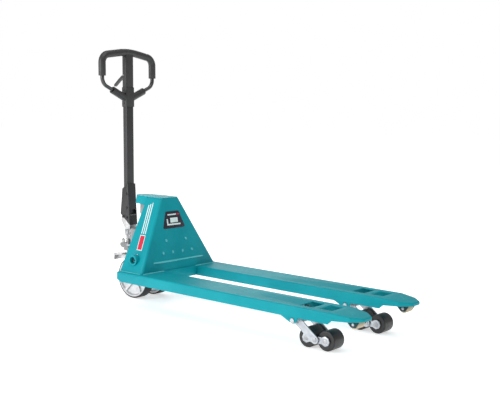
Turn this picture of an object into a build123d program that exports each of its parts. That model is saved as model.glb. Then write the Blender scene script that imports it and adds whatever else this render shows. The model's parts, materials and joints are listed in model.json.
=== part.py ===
"""Hand pallet truck with forks raised, handle upright and steering wheels straight.

Millimetres. +X runs from the heel to the fork tips, +Z up. The origin is on the floor,
on the centre line, midway between the rearmost point of the control lever and the fork tips.
"""

import os
from math import asin, atan2, cos, degrees, radians, sin, tan

from build123d import *

os.makedirs("parts", exist_ok=True)

# ---- overall ------------------------------------------------------------------------
FORK_LENGTH = 1150.0  # heel to tip
FORK_SPREAD = 540.0  # over both forks
FORK_WIDTH = 160.0
FORK_DEPTH = 45.0  # pressed channel, top to lower edge
FORK_TOP = 165.0  # load face above the floor in this pose
REAR_REACH = 462.0  # heel to the tip of the control lever
FIT = 0.05  # radial running clearance of pins and shafts
GAP = 0.6  # side clearance between moving pieces
PLATE = 4.0  # pressed sheet of the forks
SHEET = 5.0  # pressed sheet of the A-frame

HEEL_X = (REAR_REACH - FORK_LENGTH) / 2
TIP_X = HEEL_X + FORK_LENGTH
FORK_Y = (FORK_SPREAD - FORK_WIDTH) / 2
FORK_LOW = FORK_TOP - FORK_DEPTH
SIDES = (("left", 1), ("right", -1))

# ---- forks --------------------------------------------------------------------------
TAIL_X = HEEL_X - 143.0
TAPER_START = 113.0  # from the tip back to where the sides start to taper
NOSE_HALF = 30.0
SHOULDER_BACK = 42.0  # from the tip back to the nose shoulder
SHOULDER_HALF = 66.0
TIP_DROP = 11.0  # how far the tip's top slopes down
TIP_LIP = 13.0  # depth of the lip at the tip
STEP_BACK = 130.0  # from the tip back to the step in the lower edge
STEP_RISE = 16.0
RIM_RADIUS = 7.0
SLOT_LENGTH = 110.0  # opening in the fork top for the rocker's lower arm
SLOT_WIDTH = 30.0
GROOVE_WIDTH, GROOVE_DEPTH = 3.0, 0.5  # weld groove across the top at the heel

# ---- load wheels and their arms ------------------------------------------------------
ROLLER_R = 40.0
ROLLER_WIDTH = 70.0
ROLLER_PITCH = 88.0
ROLLER_BORE_R = 10.0
BOGIE_X = TIP_X - 206.0
BOGIE_Z = ROLLER_R
LINK = 6.0  # thickness of the bogie plates and arm plates
LINK_IN = ROLLER_WIDTH / 2 + 1.5
LINK_OUT = LINK_IN + LINK
ARM_IN = LINK_OUT + 2.0
ARM_OUT = ARM_IN + LINK
ARM_PIVOT_X = TIP_X - 295.0
ARM_PIVOT_Z = FORK_LOW - 14.0
ARM_PIN_R = 10.0
STUB_R = 9.0
LUG = 6.0
LUG_OUT = FORK_WIDTH / 2 - PLATE
LUG_IN = LUG_OUT - LUG
LEVER_R = 40.0  # arm pivot to push-rod pin
LEVER_LEAN = 10.7  # degrees forward of upright in this pose
LEVER_PIN_R = 6.0
LEVER_IN = 8.0
WINDOW_SIZES = ((62.0, 92.0), (59.0, 84.0))
WINDOW_BACKS = (253.0, 163.5)  # window centres behind the tip

# ---- entry rollers at the tips ---------------------------------------------------------
ENTRY_X = TIP_X - 46.0
ENTRY_Z = FORK_LOW + 5.0
ENTRY_R = 19.0
ENTRY_WIDTH = 54.0
ENTRY_AXLE_R = 6.0
ENTRY_PLATE = 4.0

# ---- A-frame ---------------------------------------------------------------------------
FRAME_TOP = 491.0
FRAME_LEAN = 0.222  # run back per unit of rise of the front panel
BASE_HALF = 250.0
SIDE_SLOPE = 0.5805  # half-width lost per unit of rise
FRAME_REAR_LOW = 143.0  # heel to the rear edge at the bottom
FRAME_REAR_HIGH = 165.0
BEND_R = 13.0
HOOD_PLATE = 6.0
NOSE_DROP = 33.0  # depth of the hood's nose skirt under its plate
RIB_Z = 206.0
RIB_HALF = 167.0
LABEL_LOW_Z, LABEL_HIGH_Z = 354.0, 433.0
LABEL_LOW_HALF, LABEL_HIGH_HALF = 75.0, 44.0
DIMPLES = ((66.0, 300.0), (97.0, 245.0), (33.0, 245.0))

# ---- lift unit --------------------------------------------------------------------------
KINGPIN_X = HEEL_X - 232.0
RAM_R = 17.0
CYLINDER_R = 26.0
SLEEVE_R = 30.0
SLEEVE_LOW_Z = 407.0
STEER_R = 100.0
STEER_WIDTH = 50.0
STEER_Y = 63.0
RIM_R = 93.0
WHEEL_BORE_R = 10.0
COLLAR_LOW, COLLAR_HIGH = 228.0, 248.0
COLLAR_PIN_Z = 240.0
COLLAR_PIN_R = 7.0
BEARING_HIGH = COLLAR_HIGH + 8.0
POST_R = 25.0
PUMP_HIGH = 330.0
PUMP_REACH = 82.0
PUMP_HALF = 45.0
CYLINDER_HIGH = 408.0

# ---- rocker and push rods -----------------------------------------------------------------
ROCKER_X = HEEL_X - 80.0
ROCKER_Z = 220.0
ROCKER_R = 16.0
ROCKER_ARM_IN = 86.0
ROCKER_ARM = 8.0
ROD_PIN_DROP = 61.0
ROD_PIN_LEAN = 6.8
ROD_PIN_R = 7.0
ROD_R = 8.0
ROD_Z = 146.0
ROD_IN = 10.0  # push rods lie this far inboard of the fork centres
COLLAR_R = 25.0  # weld-in bearing collar in each side plate

# ---- handle ---------------------------------------------------------------------------------
HANDLE_LEAN = 1.8
PIVOT_BACK = 336.0  # heel to the handle pivot
PIVOT_X = HEEL_X - PIVOT_BACK
PIVOT_Z = 304.6
PIVOT_R = 8.0
AXIS_BACK = 13.0  # handle axis behind the pivot
CAM_ARM = 20.0
CAM_ANGLE = 35.0
CAM_R = 10.0
CAM_PIN_R = 4.0
TUBE_X, TUBE_Y, TUBE_WALL = 29.0, 46.0, 2.5
BRACKET_WALL = 3.0
TUBE_LOW, TUBE_HIGH = 92.0, 712.0
SLEEVE_LOW = 617.0
COLUMN_HIGH = 863.0
COLUMN_X, COLUMN_Y = 30.0, 50.0
LOOP_TOP = 881.0
LOOP_CROWN = 26.0  # how far the grip's bar rises from its corners to its middle
LOOP_HALF = 166.0
LOOP_LOW = 725.0
ROOT_H = 650.0
THIN_R = 9.5
GRIP_R = 17.5
GRIP_LOW = 762.0
LEVER_H = 771.0
LEVER_BACK = 9.0  # lever pivot behind the handle axis
LEVER_FALL = 52.0
LEVER_TIP = 10.0  # depth of the lever's tip
LEAN = radians(HANDLE_LEAN)
LEVER_RUN = REAR_REACH - PIVOT_BACK - (LEVER_H - LEVER_FALL + LEVER_TIP) * sin(LEAN)
LEVER_REACH = LEVER_RUN / cos(LEAN) - AXIS_BACK
CAST_HALF = TUBE_Y / 2

# ---- pump plunger and pedal --------------------------------------------------------------------
PLUNGER_BACK = 6.0  # plunger axis behind the cam roller's
PLUNGER_X = PIVOT_X - CAM_ARM * cos(radians(CAM_ANGLE - HANDLE_LEAN)) - PLUNGER_BACK
PLUNGER_TOP = PIVOT_Z + CAM_ARM * sin(radians(CAM_ANGLE - HANDLE_LEAN)) - CAM_R - 0.4
PLUNGER_R = 8.5
PLUNGER_CAP_R = 12.0
BLOCK_HIGH = 250.0
BLOCK_LOW = 211.0
BLOCK_HALF = 18.0
BLOCK_NEAR = 105.0  # the block starts this far behind the kingpin, clear of the rocker arms
ARM_CLEAR = 272.0  # underside of the web that swings over the rocker arms
CHEEK_LOW = BEARING_HIGH + 6.0
VALVE_X = HEEL_X - 403.0
VALVE_HALF = 12.0
PEDAL_Z = 176.0
PEDAL_X = KINGPIN_X - 62.0
PEDAL_TIP_X = HEEL_X - 429.0
PEDAL_PIN_R = 4.0


def fork_top_at(x):
    """Height of the fork's top face: level, then sloping down to the tip."""
    run = max(0.0, x - (TIP_X - TAPER_START + 3.0))
    return FORK_TOP - TIP_DROP * run / (TAPER_START - 3.0)


def fork_blank(centre, wall):
    """Fork envelope, or the cavity inside it when wall is the sheet thickness."""
    half = FORK_WIDTH / 2
    low = FORK_LOW - 60.0 if wall else FORK_LOW
    with BuildPart() as blank:
        with BuildSketch(Plane.XY.offset(low)):
            with BuildLine():
                Polyline(
                    (TAIL_X, centre - half),
                    (TIP_X - TAPER_START, centre - half),
                    (TIP_X - SHOULDER_BACK, centre - SHOULDER_HALF),
                    (TIP_X, centre - NOSE_HALF),
                    (TIP_X, centre + NOSE_HALF),
                    (TIP_X - SHOULDER_BACK, centre + SHOULDER_HALF),
                    (TIP_X - TAPER_START, centre + half),
                    (TAIL_X, centre + half),
                    close=True,
                )
            make_face()
            nose = vertices().filter_by(lambda v: v.X > TIP_X - SHOULDER_BACK - 1)
            fillet(nose, NOSE_HALF * 0.8)
            if wall:
                offset(amount=-wall)
        extrude(amount=FORK_TOP - low)
        with BuildSketch(Plane.XZ):
            with BuildLine():
                tip_low = FORK_TOP - TIP_DROP - TIP_LIP
                Polyline(
                    (TAIL_X - 1, low if wall else FORK_LOW + 12),
                    (TAIL_X + 22, low),
                    (TIP_X - STEP_BACK, low),
                    (TIP_X - STEP_BACK + 18, low if wall else FORK_LOW + STEP_RISE),
                    (TIP_X + 1, low if wall else tip_low),
                    (TIP_X + 1, fork_top_at(TIP_X) - wall),
                    (TIP_X - TAPER_START + 3, FORK_TOP - wall),
                    (TAIL_X - 1, FORK_TOP - wall),
                    close=True,
                )
            make_face()
        extrude(amount=FORK_SPREAD, both=True, mode=Mode.INTERSECT)
    return blank.part


def frame_blank(wall):
    """A-frame envelope, or the room inside it when wall is the sheet thickness."""
    side = wall * (1 + SIDE_SLOPE**2) ** 0.5
    front = wall * (1 + FRAME_LEAN**2) ** 0.5
    top_x = HEEL_X - FRAME_LEAN * (FRAME_TOP - FORK_TOP)
    reach = 60.0 if wall else 0.0
    low = FORK_TOP - reach
    high = FRAME_TOP + reach
    with BuildPart() as blank:
        with BuildSketch(Plane.XZ):
            with BuildLine():
                Polyline(
                    (HEEL_X - front + FRAME_LEAN * reach, low),
                    (top_x - front - FRAME_LEAN * reach, high),
                    (HEEL_X - FRAME_REAR_HIGH - reach, high),
                    (HEEL_X - FRAME_REAR_HIGH - reach, FRAME_TOP - NOSE_DROP),
                    (HEEL_X - FRAME_REAR_LOW - reach, low),
                    close=True,
                )
            make_face()
        extrude(amount=BASE_HALF + 60, both=True)
        with BuildSketch(Plane.YZ):
            with BuildLine():
                low_half = BASE_HALF - side + SIDE_SLOPE * reach
                high_half = low_half - SIDE_SLOPE * (high - low)
                Polyline(
                    (-low_half, low),
                    (low_half, low),
                    (high_half, high),
                    (-high_half, high),
                    close=True,
                )
            make_face()
        extrude(amount=FORK_LENGTH, both=True, mode=Mode.INTERSECT)
        bends = edges().filter_by(
            lambda e: abs(e.tangent_at(0.5).Y) > 0.2
            and abs(e.tangent_at(0.5).Z) > 0.5
            and e.center().X > HEEL_X - 100
        )
        fillet(bends, BEND_R - wall)
    return blank.part


def handle_foot():
    """Foot of the handle's axis: the point of it that is level with the handle pivot."""
    lean = radians(HANDLE_LEAN)
    return (PIVOT_X - AXIS_BACK * cos(lean), 0, PIVOT_Z - AXIS_BACK * sin(lean))


def handle_plane(height=0.0):
    """Plane across the leaning handle, at a height along it above the handle pivot."""
    lean = radians(HANDLE_LEAN)
    base = Plane(
        origin=handle_foot(),
        x_dir=(cos(lean), 0, sin(lean)),
        z_dir=(-sin(lean), 0, cos(lean)),
    )
    return base.offset(height)


def handle_side():
    """Plane through the handle's axis, seen from the side: local x forward, local y up."""
    lean = radians(HANDLE_LEAN)
    return Plane(
        origin=handle_foot(),
        x_dir=(cos(lean), 0, sin(lean)),
        z_dir=(0, -1, 0),
    )


def handle_front():
    """Plane through the handle's axis, seen from the front: local x across, local y up."""
    lean = radians(HANDLE_LEAN)
    return Plane(
        origin=handle_foot(),
        x_dir=(0, 1, 0),
        z_dir=(cos(lean), 0, sin(lean)),
    )


def across(y):
    """Plane square to Y at a distance y, with local x along +X and local y along +Z."""
    return Plane(origin=(0, y, 0), x_dir=(1, 0, 0), z_dir=(0, -1, 0))


# ======================================================================================
# Chassis
# ======================================================================================
for side, sign in SIDES:
    centre = sign * FORK_Y
    outer = fork_blank(centre, 0.0)
    cavity = fork_blank(centre, PLATE)
    with BuildPart() as fork:
        add(outer)
        rim = fork.edges().filter_by(
            lambda e: e.center().Z > FORK_TOP - TIP_DROP - 1
            and (abs(e.center().Y - centre) > 1 or e.center().X > TIP_X - 1)
        )
        fillet(rim, RIM_RADIUS)
        add(cavity, mode=Mode.SUBTRACT)
        for back, (length, width) in zip(WINDOW_BACKS, WINDOW_SIZES):
            with BuildSketch(Plane.XY.offset(FORK_TOP)):
                with Locations((TIP_X - back, centre)):
                    RectangleRounded(length, width, 5)
            extrude(amount=-3 * PLATE, mode=Mode.SUBTRACT)
        with BuildSketch(Plane.XY.offset(FORK_TOP)):
            with Locations((ROCKER_X + 5, centre - sign * ROD_IN)):
                RectangleRounded(SLOT_LENGTH, SLOT_WIDTH, 6)
        extrude(amount=-3 * PLATE, mode=Mode.SUBTRACT)
        with BuildSketch(Plane.XY.offset(FORK_TOP)):
            with Locations((HEEL_X + GROOVE_WIDTH, centre)):
                Rectangle(GROOVE_WIDTH, FORK_WIDTH)
        extrude(amount=-GROOVE_DEPTH, mode=Mode.SUBTRACT)
    fork.part.label = f"{side}_fork"
    export_step(fork.part, f"parts/{side}_fork.step")

frame_outer = frame_blank(0.0)
frame_room = frame_blank(SHEET)
panel_run = (1 + FRAME_LEAN**2) ** 0.5
PANEL = Plane(
    origin=(HEEL_X, 0, FORK_TOP),
    x_dir=(0, 1, 0),
    z_dir=(1 / panel_run, 0, FRAME_LEAN / panel_run),
)
with BuildPart() as a_frame:
    add(frame_outer)
    add(frame_room, mode=Mode.SUBTRACT)
    with BuildSketch(PANEL):
        with Locations((0, (RIB_Z - FORK_TOP) * panel_run)):
            SlotOverall(2 * RIB_HALF, 9)
    extrude(amount=3, taper=25)
    with BuildSketch(PANEL):
        for half, height in DIMPLES:
            with Locations(
                (half, (height - FORK_TOP) * panel_run),
                (-half, (height - FORK_TOP) * panel_run),
            ):
                Circle(10)
    extrude(amount=3, taper=50)
    with BuildSketch(Plane.XZ):
        with Locations((ROCKER_X, ROCKER_Z)):
            Circle(COLLAR_R)
    extrude(amount=BASE_HALF, both=True, mode=Mode.SUBTRACT)
a_frame.part.label = "a_frame"
export_step(a_frame.part, "parts/a_frame.step")

nose_low = FRAME_TOP - NOSE_DROP
half_low = BASE_HALF - SIDE_SLOPE * (nose_low - FORK_TOP)
half_high = BASE_HALF - SIDE_SLOPE * (FRAME_TOP + HOOD_PLATE - FORK_TOP)
join_x = HEEL_X - FRAME_REAR_HIGH
front_x = HEEL_X - FRAME_LEAN * (FRAME_TOP - FORK_TOP)
NOSE_LOW_R, NOSE_HIGH_R = 52.0, 47.0


def nose_blank(wall):
    """Hood nose: drawn from a wider lower outline to a narrower upper one."""
    levels = (
        (nose_low - wall, half_low - wall, NOSE_LOW_R - wall),
        (FRAME_TOP + (0.0 if wall else HOOD_PLATE), half_high - wall, NOSE_HIGH_R - wall),
    )
    with BuildPart() as nose:
        for height, half, radius in levels:
            with BuildSketch(Plane.XY.offset(height)):
                with BuildLine():
                    Line((join_x, -half), (join_x, half))
                    Line((join_x, half), (KINGPIN_X, radius))
                    ThreePointArc((KINGPIN_X, radius), (KINGPIN_X - radius, 0), (KINGPIN_X, -radius))
                    Line((KINGPIN_X, -radius), (join_x, -half))
                make_face()
        loft(ruled=True)
    return nose.part


nose_outer = nose_blank(0.0)
nose_room = nose_blank(SHEET)
with BuildPart() as hood:
    add(nose_outer)
    add(nose_room, mode=Mode.SUBTRACT)
    with BuildSketch(Plane.XY.offset(FRAME_TOP)):
        with BuildLine():
            Polyline(
                (join_x - 1, -half_high),
                (front_x - 1, -half_high),
                (front_x - 1, half_high),
                (join_x - 1, half_high),
                close=True,
            )
        make_face()
        fillet(vertices().sort_by(Axis.X)[-2:], 10)
    extrude(amount=HOOD_PLATE)
    with BuildSketch(Plane.XY.offset(FRAME_TOP)):
        with Locations((KINGPIN_X, 0)):
            Circle(SLEEVE_R + 6)
    extrude(amount=-8)
hood.part.label = "hood"
export_step(hood.part, "parts/hood.step")

seat_z = FRAME_TOP - 8
BEAM_BACK, BEAM_FRONT = 85.0, 6.0
inner_y = FORK_Y - FORK_WIDTH / 2
with BuildPart() as heel_beam:
    with BuildSketch(Plane.XZ):
        with BuildLine():
            Polyline(
                (HEEL_X - BEAM_BACK, FORK_TOP),
                (HEEL_X + BEAM_FRONT, FORK_TOP),
                (HEEL_X + BEAM_FRONT, FORK_LOW),
                (HEEL_X + BEAM_FRONT - SHEET, FORK_LOW),
                (HEEL_X + BEAM_FRONT - SHEET, FORK_TOP - SHEET),
                (HEEL_X - BEAM_BACK + SHEET, FORK_TOP - SHEET),
                (HEEL_X - BEAM_BACK + SHEET, FORK_LOW),
                (HEEL_X - BEAM_BACK, FORK_LOW),
                close=True,
            )
        make_face()
    extrude(amount=inner_y, both=True)
heel_beam.part.label = "heel_beam"
export_step(heel_beam.part, "parts/heel_beam.step")

plate_y = BASE_HALF - SIDE_SLOPE * (ROCKER_Z - FORK_TOP)
SHAFT_END = plate_y - 4.0
COLLAR_IN = 12.0
with BuildPart() as shaft_collars:
    for side, sign in SIDES:
        with BuildSketch(across(plate_y + 16 if sign > 0 else COLLAR_IN - plate_y)):
            with Locations((ROCKER_X, ROCKER_Z)):
                Circle(COLLAR_R)
                Circle(ROCKER_R + FIT, mode=Mode.SUBTRACT)
        extrude(amount=16 + COLLAR_IN)
shaft_collars.part.label = "shaft_collars"
export_step(shaft_collars.part, "parts/shaft_collars.step")

with BuildPart() as arm_lugs:
    for side, sign in SIDES:
        for y in (sign * FORK_Y + LUG_OUT, sign * FORK_Y - LUG_IN):
            with BuildSketch(across(y)):
                with BuildLine():
                    Polyline(
                        (ARM_PIVOT_X - 60, FORK_LOW + 34),
                        (ARM_PIVOT_X - 60, FORK_LOW),
                        (ARM_PIVOT_X - 12, FORK_LOW - 23),
                        (ARM_PIVOT_X + 17, FORK_LOW - 21),
                        (ARM_PIVOT_X + 24, FORK_LOW),
                        (ARM_PIVOT_X + 24, FORK_LOW + 34),
                        close=True,
                    )
                make_face()
                with Locations((ARM_PIVOT_X, ARM_PIVOT_Z)):
                    Circle(ARM_PIN_R, mode=Mode.SUBTRACT)
            extrude(amount=LUG)
arm_lugs.part.label = "arm_lugs"
export_step(arm_lugs.part, "parts/arm_lugs.step")

with BuildPart() as entry_brackets:
    for side, sign in SIDES:
        for offset_y in (ENTRY_WIDTH / 2 + GAP + ENTRY_PLATE, -ENTRY_WIDTH / 2 - GAP):
            with BuildSketch(across(sign * FORK_Y + offset_y)):
                with BuildLine():
                    Polyline(
                        (ENTRY_X - 26, fork_top_at(ENTRY_X - 26) - PLATE),
                        (ENTRY_X - 26, ENTRY_Z + 4),
                        (ENTRY_X - 10, ENTRY_Z - 12),
                        (ENTRY_X + 10, ENTRY_Z - 12),
                        (ENTRY_X + 24, ENTRY_Z + 8),
                        (ENTRY_X + 24, fork_top_at(ENTRY_X + 24) - PLATE),
                        close=True,
                    )
                make_face()
                with Locations((ENTRY_X, ENTRY_Z)):
                    Circle(ENTRY_AXLE_R, mode=Mode.SUBTRACT)
            extrude(amount=ENTRY_PLATE)
entry_brackets.part.label = "entry_brackets"
export_step(entry_brackets.part, "parts/entry_brackets.step")

with BuildPart() as fork_axles:
    for side, sign in SIDES:
        with BuildSketch(across(sign * FORK_Y + LUG_OUT + PLATE)):
            with Locations((ARM_PIVOT_X, ARM_PIVOT_Z)):
                Circle(ARM_PIN_R)
        extrude(amount=FORK_WIDTH)
        reach = ENTRY_WIDTH / 2 + GAP + ENTRY_PLATE + 2
        with BuildSketch(across(sign * FORK_Y + reach)):
            with Locations((ENTRY_X, ENTRY_Z)):
                Circle(ENTRY_AXLE_R)
        extrude(amount=2 * reach)
    chamfer(fork_axles.edges().filter_by(GeomType.CIRCLE), 1)
fork_axles.part.label = "fork_axles"
export_step(fork_axles.part, "parts/fork_axles.step")

for side, sign in SIDES:
    with BuildPart() as entry_roller:
        with BuildSketch(across(sign * FORK_Y + ENTRY_WIDTH / 2)):
            with Locations((ENTRY_X, ENTRY_Z)):
                Circle(ENTRY_R)
                Circle(ENTRY_AXLE_R + FIT, mode=Mode.SUBTRACT)
        extrude(amount=ENTRY_WIDTH)
        outer_edges = entry_roller.edges().filter_by(lambda e: e.length > 2 * 3.14 * (ENTRY_R - 1))
        fillet(outer_edges, 4)
    entry_roller.part.label = f"{side}_entry_roller"
    export_step(entry_roller.part, f"parts/{side}_entry_roller.step")

with BuildPart() as ram:
    with BuildSketch(Plane.XY.offset(seat_z)):
        with Locations((KINGPIN_X, 0)):
            Circle(RAM_R)
    extrude(amount=340 - seat_z)
ram.part.label = "lift_ram"
export_step(ram.part, "parts/lift_ram.step")

with BuildPart() as ram_sleeve:
    with BuildSketch(Plane.XY.offset(seat_z)):
        with Locations((KINGPIN_X, 0)):
            Circle(SLEEVE_R)
            Circle(CYLINDER_R + 1.0, mode=Mode.SUBTRACT)
    extrude(amount=SLEEVE_LOW_Z - seat_z)
ram_sleeve.part.label = "ram_sleeve"
export_step(ram_sleeve.part, "parts/ram_sleeve.step")

with BuildPart() as label_plate:
    with BuildSketch(PANEL):
        with BuildLine():
            Polyline(
                (-LABEL_LOW_HALF, (LABEL_LOW_Z - FORK_TOP) * panel_run),
                (LABEL_LOW_HALF, (LABEL_LOW_Z - FORK_TOP) * panel_run),
                (LABEL_HIGH_HALF, (LABEL_HIGH_Z - FORK_TOP) * panel_run),
                (-LABEL_HIGH_HALF, (LABEL_HIGH_Z - FORK_TOP) * panel_run),
                close=True,
            )
        make_face()
        fillet(vertices(), 6)
    extrude(amount=1)
label_plate.part.label = "label_plate"
export_step(label_plate.part, "parts/label_plate.step")

# ======================================================================================
# Lift carriage and steering unit
# ======================================================================================
with BuildPart() as thrust_collar:
    with BuildSketch(Plane.XY.offset(COLLAR_LOW)):
        with Locations((KINGPIN_X, 0)):
            Circle(60)
            Rectangle(44, 2 * (ROCKER_ARM_IN - GAP))
            Circle(POST_R + FIT, mode=Mode.SUBTRACT)
    extrude(amount=COLLAR_HIGH - COLLAR_LOW)
    with BuildSketch(across(ROCKER_ARM_IN - GAP)):
        with Locations((KINGPIN_X, COLLAR_PIN_Z - 2)):
            Circle(COLLAR_PIN_R)
    extrude(amount=20, mode=Mode.SUBTRACT)
    with BuildSketch(across(-ROCKER_ARM_IN + GAP + 20)):
        with Locations((KINGPIN_X, COLLAR_PIN_Z - 2)):
            Circle(COLLAR_PIN_R)
    extrude(amount=20, mode=Mode.SUBTRACT)
thrust_collar.part.label = "thrust_collar"
export_step(thrust_collar.part, "parts/thrust_collar.step")

pin_end = ROCKER_ARM_IN + ROCKER_ARM + 3
with BuildPart() as collar_pins:
    for y in (pin_end, -ROCKER_ARM_IN + GAP + 20):
        with BuildSketch(across(y)):
            with Locations((KINGPIN_X, COLLAR_PIN_Z - 2)):
                Circle(COLLAR_PIN_R)
        extrude(amount=pin_end - ROCKER_ARM_IN + GAP + 20)
collar_pins.part.label = "collar_pins"
export_step(collar_pins.part, "parts/collar_pins.step")

with BuildPart() as thrust_bearing:
    with BuildSketch(Plane.XY.offset(COLLAR_HIGH)):
        with Locations((KINGPIN_X, 0)):
            Circle(40)
            Circle(POST_R + 1, mode=Mode.SUBTRACT)
    extrude(amount=BEARING_HIGH - COLLAR_HIGH)
    chamfer(thrust_bearing.edges().filter_by(GeomType.CIRCLE), 0.8)
thrust_bearing.part.label = "thrust_bearing"
export_step(thrust_bearing.part, "parts/thrust_bearing.step")

post_half = STEER_Y - STEER_WIDTH / 2 - 1.5
with BuildPart() as king_post:
    with BuildSketch(Plane.XY.offset(STEER_R - 26)):
        with Locations((KINGPIN_X, 0)):
            RectangleRounded(56, 2 * post_half, 10)
    extrude(amount=56)
    with BuildSketch(Plane.XY.offset(STEER_R)):
        with Locations((KINGPIN_X, 0)):
            Circle(POST_R)
    extrude(amount=BEARING_HIGH - STEER_R)
    with BuildSketch(across(14)):
        with BuildLine():
            Polyline(
                (KINGPIN_X, PEDAL_Z + 16),
                (KINGPIN_X, PEDAL_Z - 26),
                (PEDAL_X - 8, PEDAL_Z - 8),
                (PEDAL_X - 8, PEDAL_Z + 8),
                close=True,
            )
        make_face()
    extrude(amount=28)
    with BuildSketch(across(8 + GAP)):
        with Locations((PEDAL_X - 4, PEDAL_Z)):
            Rectangle(34, 60)
    extrude(amount=16 + 2 * GAP, mode=Mode.SUBTRACT)
    with BuildSketch(across(post_half)):
        with Locations((KINGPIN_X, STEER_R)):
            Circle(WHEEL_BORE_R)
    extrude(amount=2 * post_half, mode=Mode.SUBTRACT)
    with BuildSketch(across(14)):
        with Locations((PEDAL_X, PEDAL_Z)):
            Circle(PEDAL_PIN_R)
    extrude(amount=28, mode=Mode.SUBTRACT)
king_post.part.label = "king_post"
export_step(king_post.part, "parts/king_post.step")

axle_half = STEER_Y + STEER_WIDTH / 2 - 7
with BuildPart() as steering_axle:
    with BuildSketch(across(axle_half)):
        with Locations((KINGPIN_X, STEER_R)):
            Circle(WHEEL_BORE_R)
    extrude(amount=2 * axle_half)
    chamfer(steering_axle.edges().filter_by(GeomType.CIRCLE), 1)
steering_axle.part.label = "steering_axle"
export_step(steering_axle.part, "parts/steering_axle.step")

for side, sign in SIDES:
    with BuildPart() as tyre:
        with BuildSketch(across(sign * STEER_Y + STEER_WIDTH / 2)):
            with Locations((KINGPIN_X, STEER_R)):
                Circle(STEER_R)
                Circle(RIM_R, mode=Mode.SUBTRACT)
        extrude(amount=STEER_WIDTH)
        outer_edges = tyre.edges().filter_by(lambda e: e.length > 2 * 3.14 * (STEER_R - 1))
        fillet(outer_edges, 3)
    tyre.part.label = f"{side}_steer_tyre"
    export_step(tyre.part, f"parts/{side}_steer_tyre.step")

    with BuildPart() as rim_casting:
        with BuildSketch(across(sign * STEER_Y + STEER_WIDTH / 2)):
            with Locations((KINGPIN_X, STEER_R)):
                Circle(RIM_R)
                Circle(23.5, mode=Mode.SUBTRACT)
        extrude(amount=STEER_WIDTH)
        for face_y in (sign * STEER_Y + STEER_WIDTH / 2, sign * STEER_Y - STEER_WIDTH / 2 + 12):
            with BuildSketch(across(face_y)):
                with Locations((KINGPIN_X, STEER_R)):
                    Circle(RIM_R - 7)
                    Circle(31, mode=Mode.SUBTRACT)
            extrude(amount=12, mode=Mode.SUBTRACT)
        with BuildSketch(across(sign * STEER_Y + STEER_WIDTH / 2 - 3)):
            with Locations((KINGPIN_X, STEER_R)):
                with PolarLocations(0, 5, start_angle=18):
                    with Locations((58, 0)):
                        Rectangle(60, 20)
                Circle(30, mode=Mode.SUBTRACT)
                Circle(RIM_R, mode=Mode.INTERSECT)
        extrude(amount=STEER_WIDTH - 6)
    rim_casting.part.label = f"{side}_steer_rim"
    export_step(rim_casting.part, f"parts/{side}_steer_rim.step")

    with BuildPart() as wheel_bearings:
        for face_y in (sign * STEER_Y + STEER_WIDTH / 2 - 8, sign * STEER_Y - STEER_WIDTH / 2 + 22):
            with BuildSketch(across(face_y)):
                with Locations((KINGPIN_X, STEER_R)):
                    Circle(23.5)
                    Circle(WHEEL_BORE_R + FIT, mode=Mode.SUBTRACT)
            extrude(amount=14)
    wheel_bearings.part.label = f"{side}_wheel_bearings"
    export_step(wheel_bearings.part, f"parts/{side}_wheel_bearings.step")

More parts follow.
